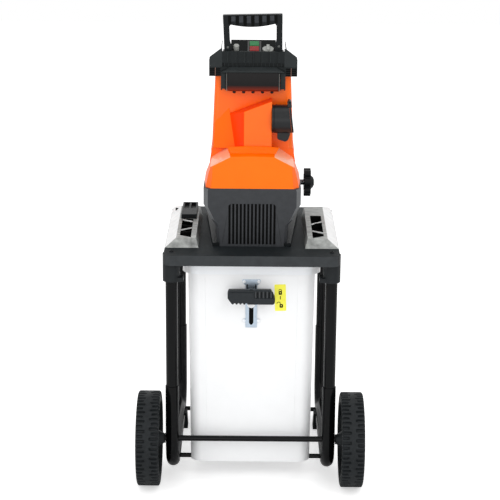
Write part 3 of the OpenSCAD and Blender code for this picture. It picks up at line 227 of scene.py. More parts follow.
def tint(obj, key, test):
    """Gives a further material to the faces whose middle and normal pass a test."""
    obj.data.materials.append(M[key])
    index = len(obj.data.materials) - 1
    for face in obj.data.polygons:
        if test(face.center, face.normal):
            face.material_index = index


def soften(obj, width, segments=2):
    """Welds an object's corners, joins its flat faces and rounds its sharp edges."""
    for face in obj.data.polygons:
        face.use_smooth = True
    weld = obj.modifiers.new("weld", "WELD")
    weld.merge_threshold = WELD_GAP
    flat = obj.modifiers.new("flat", "DECIMATE")
    flat.decimate_type = "DISSOLVE"
    flat.angle_limit = FLAT_ANGLE
    flat.delimit = {"MATERIAL"}
    bevel = obj.modifiers.new("round", "BEVEL")
    bevel.width = width
    bevel.segments = segments
    bevel.limit_method = "ANGLE"
    bevel.angle_limit = ROUND_ANGLE
    normals = obj.modifiers.new("normals", "WEIGHTED_NORMAL")
    normals.keep_sharp = True


def piece(name, bm, key, body="base", replaced=(), width=0.0, segments=2, sharp=35):
    """Turns a mesh into a finished object that rides on a body and may stand for CAD nodes."""
    bmesh.ops.remove_doubles(bm, verts=bm.verts, dist=1e-6)
    bmesh.ops.recalc_face_normals(bm, faces=bm.faces)
    mesh = bpy.data.meshes.new(name)
    bm.to_mesh(mesh)
    bm.free()
    for face in mesh.polygons:
        face.use_smooth = True
    obj = bpy.data.objects.new(name, mesh)
    scene.collection.objects.link(obj)
    dress(obj, key)
    if width:
        soften(obj, width, segments)
    else:
        mesh.set_sharp_from_angle(angle=math.radians(sharp))
    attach(obj, body)
    if replaced:
        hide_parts(*replaced)
    return obj


# Outlines
def arc(centre, radius, start, end, steps=6):
    """Points on an arc, from a start to an end angle in degrees."""
    points = []
    for i in range(steps + 1):
        t = math.radians(start + (end - start) * i / steps)
        points.append((centre[0] + radius * math.cos(t), centre[1] + radius * math.sin(t)))
    return points


def round_box(half_w, half_h, radius, middle=(0, 0)):
    """A rectangle's outline with rounded corners."""
    x, y = middle
    points = []
    for sx, sy, start in ((1, 1, 0), (-1, 1, 90), (-1, -1, 180), (1, -1, 270)):
        points += arc((x + sx * (half_w - radius), y + sy * (half_h - radius)), radius, start, start + 90, 5)
    return points


def rectangle(x, half, low, high):
    """An upright bar's outline about a middle x."""
    return [(x - half, low), (x + half, low), (x + half, high), (x - half, high)]


def mirrored(right):
    """A right half's outline closed by its mirror image."""
    return right + [(-x, v) for x, v in reversed(right)]


def on_side(side, outline):
    """A right side's outline, mirrored where the side is -1."""
    return [(side * x, v) for x, v in outline]


# Mesh building blocks
def oriented(along, u, v, w):
    """The point that lies w along an axis and (u, v) across it."""
    return {"x": (w, u, v), "y": (u, w, v), "z": (u, v, w)}[along]


def add_prism(bm, outline, low, high, along="y"):
    """A closed outline pushed along an axis: (x, z) along y, (x, y) along z or (y, z) along x."""
    near = [bm.verts.new(oriented(along, u, v, low)) for u, v in outline]
    far = [bm.verts.new(oriented(along, u, v, high)) for u, v in outline]
    bm.faces.new(near)
    bm.faces.new(far)
    count = len(outline)
    for i in range(count):
        j = (i + 1) % count
        bm.faces.new((near[i], near[j], far[j], far[i]))
    return near + far


def add_block(bm, low, high):
    """A block between its lowest and highest corners."""
    outline = [(low[0], low[1]), (high[0], low[1]), (high[0], high[1]), (low[0], high[1])]
    add_prism(bm, outline, low[2], high[2], "z")


def add_turned(bm, profile, centre, along="x", steps=48, closed=False):
    """A profile of (distance along the axis, radius) turned about an axis through a centre."""
    def place(w, r, t):
        return Vector(centre) + Vector(oriented(along, r * math.cos(t), r * math.sin(t), w))
    rings = []
    for w, r in profile:
        count = steps if r else 1
        rings.append([bm.verts.new(place(w, r, math.tau * i / steps)) for i in range(count)])
    pairs = list(zip(rings, rings[1:]))
    if closed:
        pairs.append((rings[-1], rings[0]))
    for one, two in pairs:
        for i in range(steps):
            j = (i + 1) % steps
            corners = [one[i % len(one)], one[j % len(one)], two[j % len(two)], two[i % len(two)]]
            corners = list(dict.fromkeys(corners))
            if len(corners) > 2:
                bm.faces.new(corners)


def add_loft(bm, rows, around=True, ends=True):
    """Faces between rows of points; around closes each row on itself, and ends closes the two outer rows."""
    for one, two in zip(rows, rows[1:]):
        for i in range(len(one) if around else len(one) - 1):
            j = (i + 1) % len(one)
            bm.faces.new((one[i], one[j], two[j], two[i]))
    if ends:
        bm.faces.new(rows[0])
        bm.faces.new(list(reversed(rows[-1])))


def prism(name, outline, low, high, key, body="base", along="y", **finish):
    """A piece of one prism."""
    bm = bmesh.new()
    add_prism(bm, outline, low, high, along)
    return piece(name, bm, key, body, **finish)


def blocks(name, boxes, key, body="base", **finish):
    """A piece of blocks, each given by its lowest and highest corners."""
    bm = bmesh.new()
    for low, high in boxes:
        add_block(bm, low, high)
    return piece(name, bm, key, body, **finish)


# Each CAD node gets its material, and all but the inner ones get rounded edges
EDGE = {"chassis": 0.0022, "vent_cover": 0.0016, "main_housing": 0.002, "feed_chute": 0.002,
    "cable_duct": 0.0016, "hopper_head": 0.0012, "left_side_rail": 0.0012, "right_side_rail": 0.0012,
    "collection_box": 0.0012, "adjuster_knob": 0.0015, "left_foot": 0.003, "right_foot": 0.003}
FINE_EDGE = 0.0006
INSIDE = ["rotor", "stator", "cooling_fan", "motor_housing", "motor_end_cap", "shaft_bearings",
    "intermediate_gear", "output_gear", "drum_shaft"]
for name, obj in nodes.items():
    dress(obj, NODE_MATERIAL.get(name, SLOT_MATERIAL[NODE_SLOT[name]]))
    if name not in INSIDE:
        soften(obj, EDGE.get(name, FINE_EDGE))

# Wheels with two rows of pockets in the tread, ringed sidewalls and ribbed webs
POCKETS = 60
POCKET_DEPTH = 0.0042
POCKET_LENGTHS = (0.0146, 0.0188)
POCKET_HALF = 0.0031
POCKET_WALL = 0.0009
TREAD_R = 0.0998
TREAD_HALF = 0.0233
TREAD_ROWS = 34
TREAD_STEPS = POCKETS * 12
SHOULDER = 0.0032
SHOULDER_DROP = 0.0036
TYRE_INNER_R = 0.0905
WHEEL_INNER = 0.189
WALL_HALF = 0.0235
WALL_GROOVE = WALL_HALF - 0.0012
WALL_PROFILE = [(WALL_HALF, 0.0945), (WALL_HALF, 0.0895), (WALL_GROOVE, 0.0885), (WALL_GROOVE, 0.0845),
    (WALL_HALF, 0.0835), (WALL_HALF, 0.0795)]
HUB_BORE_R = 0.0065
WHEEL_RIBS = 10
WHEEL_RIB_HALF = 0.0185
WHEEL_RIB = [(-0.0022, 0.029), (0.0022, 0.029), (0.0016, 0.0785), (-0.0016, 0.0785)]


def pocket_depth(angle, across):
    """How far the tread lies below its top at an angle and a distance from the tyre's middle."""
    row = 0.5 if across > 0 else 0.0
    turn = angle / math.tau * POCKETS + row
    index = round(turn)
    side = abs(turn - index) * math.tau * TREAD_R / POCKETS
    reach = TREAD_HALF - abs(across) - (POCKET_LENGTHS[index % 2] - POCKET_HALF)
    if reach > POCKET_HALF:
        return 0.0
    room = math.sqrt(POCKET_HALF * POCKET_HALF - reach * reach) if reach > 0 else POCKET_HALF
    share = min(1.0, max(0.0, (room - side) / POCKET_WALL))
    return POCKET_DEPTH * share * share * (3 - 2 * share)


def tyre_tread(bm, centre):
    """The tyre's outer skin, from one sidewall over the tread to the other."""
    angles = [math.tau * k / TREAD_STEPS for k in range(TREAD_STEPS)]

    def ring(across, radii):
        spots = [(across, r * math.cos(angle), r * math.sin(angle)) for angle, r in zip(angles, radii)]
        return [bm.verts.new(Vector(centre) + Vector(spot)) for spot in spots]

    inner = [TYRE_INNER_R] * TREAD_STEPS
    rings = [ring(-TREAD_HALF, inner)]
    for i in range(TREAD_ROWS + 1):
        across = -TREAD_HALF + 2 * TREAD_HALF * i / TREAD_ROWS
        edge = max(0.0, abs(across) - (TREAD_HALF - SHOULDER)) / SHOULDER
        top = TREAD_R - SHOULDER_DROP * edge * edge
        rings.append(ring(across, [top - pocket_depth(angle, across) for angle in angles]))
    rings.append(ring(TREAD_HALF, inner))
    add_loft(bm, rings, ends=False)


def wheel(name, side):
    """A wheel's tyre, its core of sidewalls, web and hub, and the ribs of its web."""
    low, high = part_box(name)
    inner, outer = sorted((abs(low.x), abs(high.x)))
    middle = (WHEEL_INNER + outer) / 2
    centre = (side * middle, (low.y + high.y) / 2, (low.z + high.z) / 2)
    bm = bmesh.new()
    tyre_tread(bm, centre)
    piece(name + "_tread", bm, "wheel", name)
    hub = inner - middle
    profile = [(-w, r) for w, r in reversed(WALL_PROFILE)] + WALL_PROFILE
    profile += [(0.006, 0.0775), (0.005, 0.0325), (0.023, 0.0305), (0.023, HUB_BORE_R), (hub, HUB_BORE_R),
        (hub, 0.0098), (-WALL_HALF, 0.0148), (-0.0205, 0.0165), (-0.005, 0.0325), (-0.006, 0.0775)]
    bm = bmesh.new()
    add_turned(bm, on_side(side, profile), centre, "x", steps=120, closed=True)
    piece(name + "_core", bm, "wheel", name, (name,), sharp=28)
    bm = bmesh.new()
    for k in range(WHEEL_RIBS):
        turn = Matrix.Rotation(math.tau * k / WHEEL_RIBS, 4, "X")
        verts = add_prism(bm, WHEEL_RIB, -side * WHEEL_RIB_HALF, side * WHEEL_RIB_HALF, "x")
        bmesh.ops.transform(bm, matrix=Matrix.Translation(centre) @ turn, verts=verts)
    piece(name + "_ribs", bm, "wheel", name, width=0.0007)


for side, word in SIDES:
    wheel(word + "_wheel", side)

# Carry handle with a bellied grip, finger pads and flared feet
HEAD_TOP = 0.904
grip_low, grip_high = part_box("carry_handle")
GRIP_HALF = grip_high.x
GRIP_TOP = grip_high.z - 0.0017
GRIP_INSET = 0.0015
GRIP_CORNER = 0.001
LEG_IN = GRIP_HALF - 0.0125
LEG_TAPER = 0.0012
FOOT_IN = 0.0435
FOOT_LOW = HEAD_TOP - 0.0028
BAR_LOW = GRIP_TOP - 0.0195
BAR_CORNER = BAR_LOW - 0.004
BELLY = 0.0055
BELLY_HALF = LEG_IN - 0.003
BELLY_STEPS = 18
HANDLE_TILT = math.radians(-1.5)
HANDLE_LEAN = (Matrix.Translation((0, 0, HEAD_TOP)) @ Matrix.Rotation(HANDLE_TILT, 4, "Y")
    @ Matrix.Translation((0, 0, -HEAD_TOP)))


def handle_outline():
    """The handle's front outline: sharp upper corners, legs that lean in a little, and a bellied grip."""
    right = [(GRIP_HALF - GRIP_CORNER, GRIP_TOP), (GRIP_HALF, GRIP_TOP - GRIP_CORNER),
        (GRIP_HALF - LEG_TAPER, FOOT_LOW), (FOOT_IN, FOOT_LOW), (FOOT_IN, HEAD_TOP + 0.004),
        (LEG_IN - 0.0005, HEAD_TOP + 0.021), (LEG_IN, BAR_CORNER)]
    belly = []
    for i in range(BELLY_STEPS + 1):
        u = 1 - 2 * i / BELLY_STEPS
        belly.append((u * BELLY_HALF, BAR_LOW - BELLY * (1 - u * u)))
    return right + belly + [(-x, z) for x, z in reversed(right)]


def lean_handle(bm):
    """Turns a mesh of the carry handle about the middle of its feet."""
    bmesh.ops.transform(bm, matrix=HANDLE_LEAN, verts=bm.verts)


def bar_low(x):
    """The height of the bellied grip's underside."""
    return BAR_LOW - BELLY * (1 - (x / LEG_IN) ** 2)


bm = bmesh.new()
add_prism(bm, handle_outline(), grip_low.y + GRIP_INSET, grip_high.y - GRIP_INSET)
lean_handle(bm)
piece("carry_handle_frame", bm, "trim", "base", ("carry_handle",), width=0.0012)
PADS = 6
PAD_PITCH = 0.0157
PAD_HALF = 0.0045
PAD_EDGE = 0.004
PAD_RISE = 0.0055
PAD_GAP_HALF = 0.0031
PAD_GAP_INSET = 0.0011
# Dark blocks in the gaps between the pads: painted shade.
bm = bmesh.new()
for i in range(PADS + 1):
    x = (i - PADS / 2) * PAD_PITCH
    add_block(bm, (x - PAD_GAP_HALF, grip_low.y + PAD_GAP_INSET, bar_low(x) + 0.0012),
        (x + PAD_GAP_HALF, grip_high.y - PAD_GAP_INSET, GRIP_TOP - 0.0014))
lean_handle(bm)
piece("grip_gaps", bm, "ink", "base")
# The pads take the lighter grey: painted light.
for i in range(PADS):
    x = (i - (PADS - 1) / 2) * PAD_PITCH
    low, top = bar_low(x) + PAD_RISE, GRIP_TOP - 0.0002
    front, rear = grip_low.y, grip_high.y
    outline = [(front, low + 0.003), (front + PAD_EDGE, low), (rear - PAD_EDGE, low), (rear, low + 0.003),
        (rear, GRIP_TOP - PAD_EDGE), (rear - PAD_EDGE, top), (front + PAD_EDGE, top),
        (front, GRIP_TOP - PAD_EDGE)]
    bm = bmesh.new()
    add_prism(bm, outline, x - PAD_HALF, x + PAD_HALF, "x")
    lean_handle(bm)
    piece("grip_pad_%d" % (i + 1), bm, "pad_painted_light", "base", width=0.0012, segments=3)

# Front cover: a polished box with grey rims, brackets beside it and round pegs under it; the box's lower edge
# is painted with a reddish reflection of the orange
cover_low, cover_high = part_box("front_cover")
COVER_HALF = 0.0535
COVER_BOX_HALF = COVER_HALF - 0.0012
COVER_LOW = 0.8235
COVER_STEP = 0.853
COVER_FRONT = cover_low.y + 0.001
COVER_DEPTH = cover_low.y + 0.012
COVER_SIDE = [(COVER_FRONT, COVER_LOW + 0.003), (cover_low.y + 0.004, COVER_LOW), (cover_high.y, COVER_LOW),
    (cover_high.y, COVER_STEP), (COVER_DEPTH, COVER_STEP), (COVER_DEPTH, cover_high.z),
    (COVER_FRONT, cover_high.z)]
prism("front_cover_box", COVER_SIDE, -COVER_BOX_HALF, COVER_BOX_HALF, "cover", "base", "x",
    replaced=("front_cover",), width=0.0012, segments=3)
COVER_BRACKET = [(0.0556, 0.859), (0.0556, 0.8245), (0.0578, 0.8235), (0.058, 0.8268), (0.0636, 0.8268),
    (0.0638, 0.8235), (0.066, 0.8245), (0.066, 0.859)]
COVER_BRACKET_FRONT = -0.0625
COVER_RIM_FRONT, COVER_RIM_LOW, COVER_RIM_TOP = cover_low.y + 0.0004, COVER_LOW + 0.001, 0.8605
for side, word in SIDES:
    x = side * COVER_HALF
    rim = ((x - 0.0011, COVER_RIM_FRONT, COVER_RIM_LOW), (x + 0.0005, cover_high.y, COVER_RIM_TOP))
    blocks("cover_rim_" + word, [rim], "edge", width=0.0005)
    prism("cover_bracket_" + word, on_side(side, COVER_BRACKET), COVER_BRACKET_FRONT, cover_high.y, "wing",
        width=0.0007)
PEGS = 5
PEG_PITCH = 0.0193
PEG_Y = -0.0665
PEG_PROFILE = [(0, 0), (0, 0.0024), (0.0012, 0.0034), (0.006, 0.0034), (0.006, 0)]
bm = bmesh.new()
for i in range(PEGS):
    add_turned(bm, PEG_PROFILE, ((i - PEGS // 2) * PEG_PITCH, PEG_Y, cover_low.z), "z", steps=24)
piece("cover_pegs", bm, "trim", "base")


# Screws: dark ones in the deck and dim grey ones in the handle's feet
def screw_head(bm, spot, along, out, radius, height):
    """A domed head with a round dent in its top; out is 1 or -1, the way it faces along its axis."""
    profile = [(0, radius), (out * height * 0.55, radius * 0.94), (out * height * 0.9, radius * 0.66),
        (out * height, radius * 0.5), (out * height * 0.45, radius * 0.16), (out * height * 0.45, 0)]
    add_turned(bm, profile, spot, along, steps=20)


DECK_Z = 0.509
DECK_SCREW_X, DECK_SCREW_Y = 0.164, -0.165
FOOT_SCREW_X, FOOT_SCREW_Z = (GRIP_HALF + FOOT_IN) / 2, HEAD_TOP + 0.0078
bm = bmesh.new()
for side in (-1, 1):
    screw_head(bm, (side * DECK_SCREW_X, DECK_SCREW_Y, DECK_Z), "z", 1, 0.0045, 0.0029)
piece("deck_screws", bm, "trim", "base", ("case_screws",))
bm = bmesh.new()
for side in (-1, 1):
    screw_head(bm, (side * FOOT_SCREW_X, grip_low.y + GRIP_INSET, FOOT_SCREW_Z), "y", -1, 0.0025, 0.002)
lean_handle(bm)
piece("handle_screws", bm, "edge", "base")

# Box lock: a handle with a ribbed half and a toothed half, its prongs and pin head, and a slotted bracket
lock_low, lock_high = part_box("lock_handle")
bracket_low, bracket_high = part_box("lock_bracket")
LOCK_Z = (lock_low.z + lock_high.z) / 2
BRACKET_FRONT = bracket_low.y
LOCK_FRONT = lock_low.y
LOCK_REAR = LOCK_FRONT + 0.015
LOCK_FACE_REAR = LOCK_FRONT + 0.004
LOCK_RIB_PITCH = 0.0079
LOCK_RIBS = 5
LOCK_TEETH = 4
TOOTH_START = -0.0395
TOOTH_LOW, TOOTH_HIGH = -0.0158, -0.0128


def at_lock(outline):
    """An outline about the lock handle's middle, at its height."""
    return [(x, LOCK_Z + z) for x, z in outline]


def lock_outline():
    """The handle's front outline: two opposite corners are cut, the other two are rounded."""
    start = [(-0.0488, -0.003), (TOOTH_START, TOOTH_LOW)]
    teeth = []
    for i in range(LOCK_TEETH):
        at = TOOTH_START + i * LOCK_RIB_PITCH
        teeth += [(at + 0.0028, TOOTH_LOW), (at + 0.0039, TOOTH_HIGH), (at + 0.0068, TOOTH_HIGH),
            (at + LOCK_RIB_PITCH, TOOTH_LOW)]
    right = [(0.045, -0.0155), (0.0478, -0.013), (0.0488, -0.004), (0.048, 0.0005), (0.0402, 0.0158)]
    left = [(-0.0455, 0.0152), (-0.0478, 0.013), (-0.0488, 0.009)]
    return at_lock(start + teeth + right + left)


prism("lock_handle_body", lock_outline(), LOCK_FRONT + 0.0022, LOCK_REAR, "lock", "lock",
    replaced=("lock_handle",), width=0.0014)
LOCK_FACE = [(-0.0472, 0.0005), (-0.0392, -0.0118), (-0.006, -0.0118), (-0.004, -0.0138), (0.0442, -0.0138),
    (0.0468, -0.0045), (0.0455, -0.0012), (0.0068, -0.0012), (0.0042, 0.0105), (-0.0448, 0.0105)]
prism("lock_handle_face", at_lock(LOCK_FACE), LOCK_FRONT, LOCK_FACE_REAR, "lock", "lock", width=0.0011,
    segments=3)
LOCK_RIB_START, LOCK_RIB_HALF, LOCK_RIB_LOW = 0.0088, 0.0016, -0.0008
for i in range(LOCK_RIBS):
    rib_top = 0.0118 if i == LOCK_RIBS - 1 else 0.0128
    rib = rectangle(LOCK_RIB_START + i * LOCK_RIB_PITCH, LOCK_RIB_HALF, LOCK_RIB_LOW, rib_top)
    prism("lock_rib_%d" % (i + 1), at_lock(rib), LOCK_FRONT + 0.0003, LOCK_REAR - 0.002, "rib", "lock",
        width=0.0008)
RIB_FLOOR = ((0.0066, LOCK_FRONT + 0.0019, LOCK_Z - 0.001), (0.0445, LOCK_FACE_REAR, LOCK_Z + 0.0118))
blocks("lock_rib_floor", [RIB_FLOOR], "trim", "lock")
prism("lock_bump", at_lock(arc((0, 0.0125), 0.0052, -20, 200, 10)), LOCK_FACE_REAR, LOCK_REAR, "lock", "lock",
    width=0.0006)
PRONG_X = 0.0089
ARM = round_box(0.0088, 0.0088, 0.003, (0, -0.006))
bm = bmesh.new()
add_prism(bm, at_lock(ARM), LOCK_REAR - 0.0005, BRACKET_FRONT - 0.0006)
for side in (-1, 1):
    x = side * PRONG_X
    prong = [(x - 0.0013, 0.006), (x + 0.0013, 0.006), (x + 0.0011, 0.0195), (x - 0.0011, 0.0195)]
    add_prism(bm, at_lock(prong), BRACKET_FRONT - 0.0052, BRACKET_FRONT - 0.0004)
piece("lock_prongs", bm, "lock", "lock", width=0.0004)
PIN_PROFILE = [(0, 0), (0, 0.0074), (-0.0012, 0.0086), (-0.0034, 0.0086), (-0.0046, 0.007), (-0.005, 0)]
bm = bmesh.new()
add_turned(bm, PIN_PROFILE, (0, BRACKET_FRONT - 0.0006, LOCK_Z - 0.0226), "y", steps=32)
piece("lock_pin_head", bm, "box", "lock")

EAR_HALF = bracket_high.x
EAR_Z = bracket_low.z + 0.015
EAR_REACH = 0.004
STEM_HALF = 0.0119
SLOT_HALF = 0.0046
SLOT_END_HALF = 0.0016
SLOT_LOW = bracket_low.z + 0.0062
SLOT_CORNER = SLOT_LOW + 0.0042


def bracket_outline():
    """The bracket's front outline: a stem with two pointed ears low down and a wider head."""
    top, low = bracket_high.z, bracket_low.z
    shoulder = EAR_HALF - EAR_REACH
    return mirrored([(STEM_HALF, low), (STEM_HALF, EAR_Z - EAR_REACH), (shoulder, EAR_Z - EAR_REACH),
        (EAR_HALF, EAR_Z), (shoulder, EAR_Z + EAR_REACH), (STEM_HALF, EAR_Z + EAR_REACH),
        (STEM_HALF, top - 0.013), (EAR_HALF - 0.002, top - 0.008), (EAR_HALF, top - 0.0055),
        (EAR_HALF, top - 0.001), (EAR_HALF - 0.001, top)])


prism("lock_bracket_plate", bracket_outline(), bracket_low.y, bracket_high.y, "zinc", "box",
    replaced=("lock_bracket",), width=0.0003)
# The slot is a dark sheet on the plate: painted shade.
SLOT = mirrored([(SLOT_END_HALF, SLOT_LOW), (SLOT_HALF, SLOT_CORNER), (SLOT_HALF, LOCK_Z - 0.017)])
prism("lock_slot", SLOT, BRACKET_FRONT - 0.00025, BRACKET_FRONT + 0.0005, "ink", "box")
# Screws in the bracket's ears, and flush plugs in the box's two lower screw holes, which the plate leaves open
SCREW_X = 0.0152
HOLE_X, HOLE_Z = 0.015, bracket_low.z + 0.005
PLUG_PROFILE = [(-0.0001, 0), (-0.0001, 0.0021), (0.0012, 0.0021), (0.0012, 0)]
bm = bmesh.new()
for z in (bracket_high.z - 0.0045, EAR_Z):
    for side in (-1, 1):
        screw_head(bm, (side * SCREW_X, BRACKET_FRONT, z), "y", -1, 0.0036, 0.0022)
for side in (-1, 1):
    add_turned(bm, PLUG_PROFILE, (side * HOLE_X, bracket_high.y, HOLE_Z), "y", steps=24)
piece("bracket_screws", bm, "rim", "box", ("lock_screws",))

# Label with generic pictograms: a closed padlock, two arrows and an open padlock
label_low, label_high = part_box("lock_label")
LABEL_FACE = label_low.y
LABEL_TILT = math.radians(-1.8)
LABEL_MIDDLE = ((label_low.x + label_high.x) / 2, 0, (label_low.z + label_high.z) / 2)
LABEL_PLACE = Matrix.Translation(LABEL_MIDDLE) @ Matrix.Rotation(LABEL_TILT, 4, "Y")
INK = (LABEL_FACE - 0.0001, LABEL_FACE + 0.0002)
BOW_HALF = 0.0013 / 2
ARROW_HALF = 0.001


def on_label(name, outlines, low, high, key):
    """A piece of flat shapes, drawn about the label's middle."""
    bm = bmesh.new()
    for outline in outlines:
        add_prism(bm, outline, low, high)
    bmesh.ops.transform(bm, matrix=LABEL_PLACE, verts=bm.verts)
    return piece(name, bm, key, "box")


def shackle(middle, radius, leg):
    """A padlock's bow: a band along a half circle, with a leg at its right end."""
    outer = arc(middle, radius + BOW_HALF, 0, 180, 10)
    inner = arc(middle, radius - BOW_HALF, 180, 0, 10)
    ends = [(inner[-1][0], inner[-1][1] - leg), (outer[0][0], outer[0][1] - leg)]
    return outer + inner + ends


film = on_label("lock_label_film", [round_box(0.0117, 0.0286, 0.0016)], LABEL_FACE, label_high.y, "yellow")
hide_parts("lock_label")
on_label("padlock_closed", [round_box(0.0034, 0.0041, 0.002, (0, 0.0105)),
    shackle((0, 0.0152), 0.0028, 0.0022)], *INK, "ink")
on_label("padlock_open", [round_box(0.0036, 0.004, 0.0024, (0.0016, -0.0178)),
    shackle((-0.0038, -0.0128), 0.0034, 0.0024)], *INK, "ink")
on_label("padlock_holes", [round_box(0.0009, 0.0012, 0.0006, (0, 0.0108)),
    round_box(0.001, 0.0012, 0.0007, (0.0016, -0.0174))], INK[0] - 0.0001, INK[1], "yellow")
UP_ARROW = [(-ARROW_HALF, 0.0), (ARROW_HALF, 0.0), (ARROW_HALF, 0.0022), (0, 0.004), (-ARROW_HALF, 0.0022)]
DOWN_ARROW = [(-ARROW_HALF, -0.0022), (0, -0.0042), (ARROW_HALF, -0.0022), (ARROW_HALF, -0.0008),
    (-ARROW_HALF, -0.0008)]
on_label("label_arrows", [UP_ARROW, DOWN_ARROW], *INK, "ink")

# Faces of CAD nodes that take a further material: painted sheen on the rails' outer faces, painted shade in
# their windows and on the duct's left flank, painted light on the deck's front, a painted highlight on the vent
# cover's upper side facets, and the two-tone housing, rim, knob screw and head wings
rail_low, rail_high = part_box("right_side_rail")
RAIL_TOP, RAIL_FRONT, RAIL_REAR = rail_high.z, rail_low.y, rail_high.y
WINDOW = (0.1185, 0.1525)
WINDOW_START = RAIL_FRONT + 0.0062
DECK_FACE_LOW = 0.486
ADJUSTER_BLACK_X = 0.087
HOUSING_BELT = 0.624
BOX_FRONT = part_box("collection_box")[0].y
BOX_RIM_LOW = 0.4575
VENT_EDGE_LOW = 0.57
HEAD_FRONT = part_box("hopper_head")[0].y + 0.010


def inside_window(spot):
    """Whether a face lies inside a rail's window, below its rim."""
    return WINDOW[0] < abs(spot.x) < WINDOW[1] and spot.z < RAIL_TOP - 0.0004 and spot.y > WINDOW_START


for side, word in SIDES:
    rail = nodes[word + "_side_rail"]
    # The rails' outer faces take the pale grey: a painted sheen.
    tint(rail, "rail_pale_and_painted_sheen", lambda c, n: side * n.x > 0.4 and side * c.x > WINDOW[1])
    # The faces inside the windows take the near black: painted shade.
    tint(rail, "ink", lambda c, n: inside_window(c))
tint(nodes["chassis"], "deck_top", lambda c, n: n.z > 0.6)
# The deck's front faces take the lighter copy: painted light.
tint(nodes["chassis"], "deck_face_painted_light", lambda c, n: n.y < -0.6 and c.z > DECK_FACE_LOW)
tint(nodes["adjuster_screw"], "trim", lambda c, n: c.x > ADJUSTER_BLACK_X)
tint(nodes["main_housing"], "hood", lambda c, n: c.z < HOUSING_BELT)
tint(nodes["collection_box"], "rim", lambda c, n: c.z > BOX_RIM_LOW and n.y < -0.5 and c.y < BOX_FRONT + 0.004)
# The duct's left flank takes the darker copy of the orange: painted shade.
tint(nodes["cable_duct"], "orange_painted_shade", lambda c, n: n.x < -0.3)
# The vent cover's upper side facets take the lighter copy: a painted highlight.
tint(nodes["vent_cover"], "hood_painted_highlight", lambda c, n: abs(n.x) > 0.45 and n.y < -0.3 and c.z > VENT_EDGE_LOW)
tint(nodes["hopper_head"], "wing", lambda c, n: c.y < HEAD_FRONT - 0.0008)

# Motor hood: a flat front panel with cut corners, side facets, shoulders with a painted highlight and a ledge
# in front of the duct
hood_low, hood_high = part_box("motor_hood")
HOOD_FRONT, HOOD_REAR = hood_low.y, hood_high.y
HOOD_LOW, HOOD_TOP = hood_low.z, hood_high.z
HOOD_FACET = HOOD_FRONT + 0.011
HOOD_ROWS = [
    (HOOD_FRONT, [(0.0848, HOOD_LOW), (0.0822, 0.655), (0.0816, 0.6788), (0.0452, 0.6976), (0.0, 0.6988)]),
    (HOOD_FACET, [(0.0958, HOOD_LOW), (0.092, 0.652), (0.0863, 0.6743), (0.0465, 0.7026), (0.0, HOOD_TOP)]),
    (HOOD_REAR, [(0.0998, HOOD_LOW), (0.0965, 0.651), (0.0845, 0.682), (0.0535, 0.7028), (0.0, HOOD_TOP)]),
]
bm = bmesh.new()
rows = []
for y, right in HOOD_ROWS:
    outline = right + [(-x, z) for x, z in reversed(right[:-1])]
    rows.append([bm.verts.new((x, y, z)) for x, z in outline])
add_loft(bm, rows, around=False)
bm.faces.new([row[0] for row in rows] + [row[-1] for row in reversed(rows)])
hood = piece("hood_shell", bm, "hood_orange", "base", ("motor_hood",), width=0.001, segments=3)
HOOD_SIDE, HOOD_SLOPE = 0.3, 0.35
# Faces by the way they turn: the sides take the plain orange, faces turned up take a darker copy (painted
# shade), and the upper side chamfers take a pale copy (painted highlight).
tint(hood, "orange", lambda c, n: abs(n.x) > HOOD_SIDE and n.z < HOOD_SLOPE)
tint(hood, "orange_facet_painted_shade", lambda c, n: n.z >= HOOD_SLOPE)
tint(hood, "orange_painted_highlight", lambda c, n: abs(n.x) > HOOD_SIDE and n.z >= HOOD_SLOPE and abs(n.y) < HOOD_SIDE)
HOOD_SEAT = mirrored([(0.0995, HOOD_REAR), (0.0995, HOOD_FRONT + 0.009), (0.0905, HOOD_FRONT + 0.0004)])
prism("hood_seat", HOOD_SEAT, HOOD_LOW - 0.0008, HOOD_LOW + 0.0003, "hood", "base", "z")
HOOD_BACK = mirrored([(0.0888, 0.672), (0.0848, 0.7)])
prism("hood_back", HOOD_BACK, HOOD_REAR - 0.0008, HOOD_REAR - 0.0001, "orange")
LEDGE = (-0.0515, 0.0545)
LEDGE_STEPS = 16
LEDGE_FOOT = HOOD_TOP - 0.0006
LEDGE_FOOT_SHARE = 0.88
LEDGE_TOP, LEDGE_BOW = 0.7126, 0.0026
LEDGE_FRONT, LEDGE_EDGE, LEDGE_REAR = -0.1106, -0.0992, -0.0966
bm = bmesh.new()
rows = []
for i in range(LEDGE_STEPS + 1):
    x = LEDGE[0] + (LEDGE[1] - LEDGE[0]) * i / LEDGE_STEPS
    foot_x = x * LEDGE_FOOT_SHARE
    top = LEDGE_TOP + LEDGE_BOW * (1 - (2 * i / LEDGE_STEPS - 1) ** 2)
    section = [(foot_x, LEDGE_FRONT, LEDGE_FOOT), (x, LEDGE_EDGE, top), (x, LEDGE_REAR, top),
        (foot_x, LEDGE_REAR, LEDGE_FOOT)]
    rows.append([bm.verts.new(spot) for spot in section])
add_loft(bm, rows)
# The ledge takes the darker copy of the orange: painted shade.
piece("hood_ledge", bm, "orange_facet_painted_shade", "base", width=0.0006)

# Vent cover: dark blocks behind the bars, painted shade inside the cover, and dark strips beside it, painted
# shade in its creases
VENT_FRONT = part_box("vent_cover")[0].y
GRILLE_HALF = 0.0492
GRILLE_LOW, GRILLE_TOP = 0.5135, 0.6008
VENT_SHADE_HALF = GRILLE_HALF + 0.003
VENT_SHADE_EDGE_X = GRILLE_HALF + 0.0024
VENT_SHADE_EDGE_HALF = 0.0006
VENT_SHADE_FRONT, VENT_SHADE_FLOOR, VENT_SHADE_REAR = VENT_FRONT + 0.0029, VENT_FRONT + 0.0035, VENT_FRONT + 0.0042
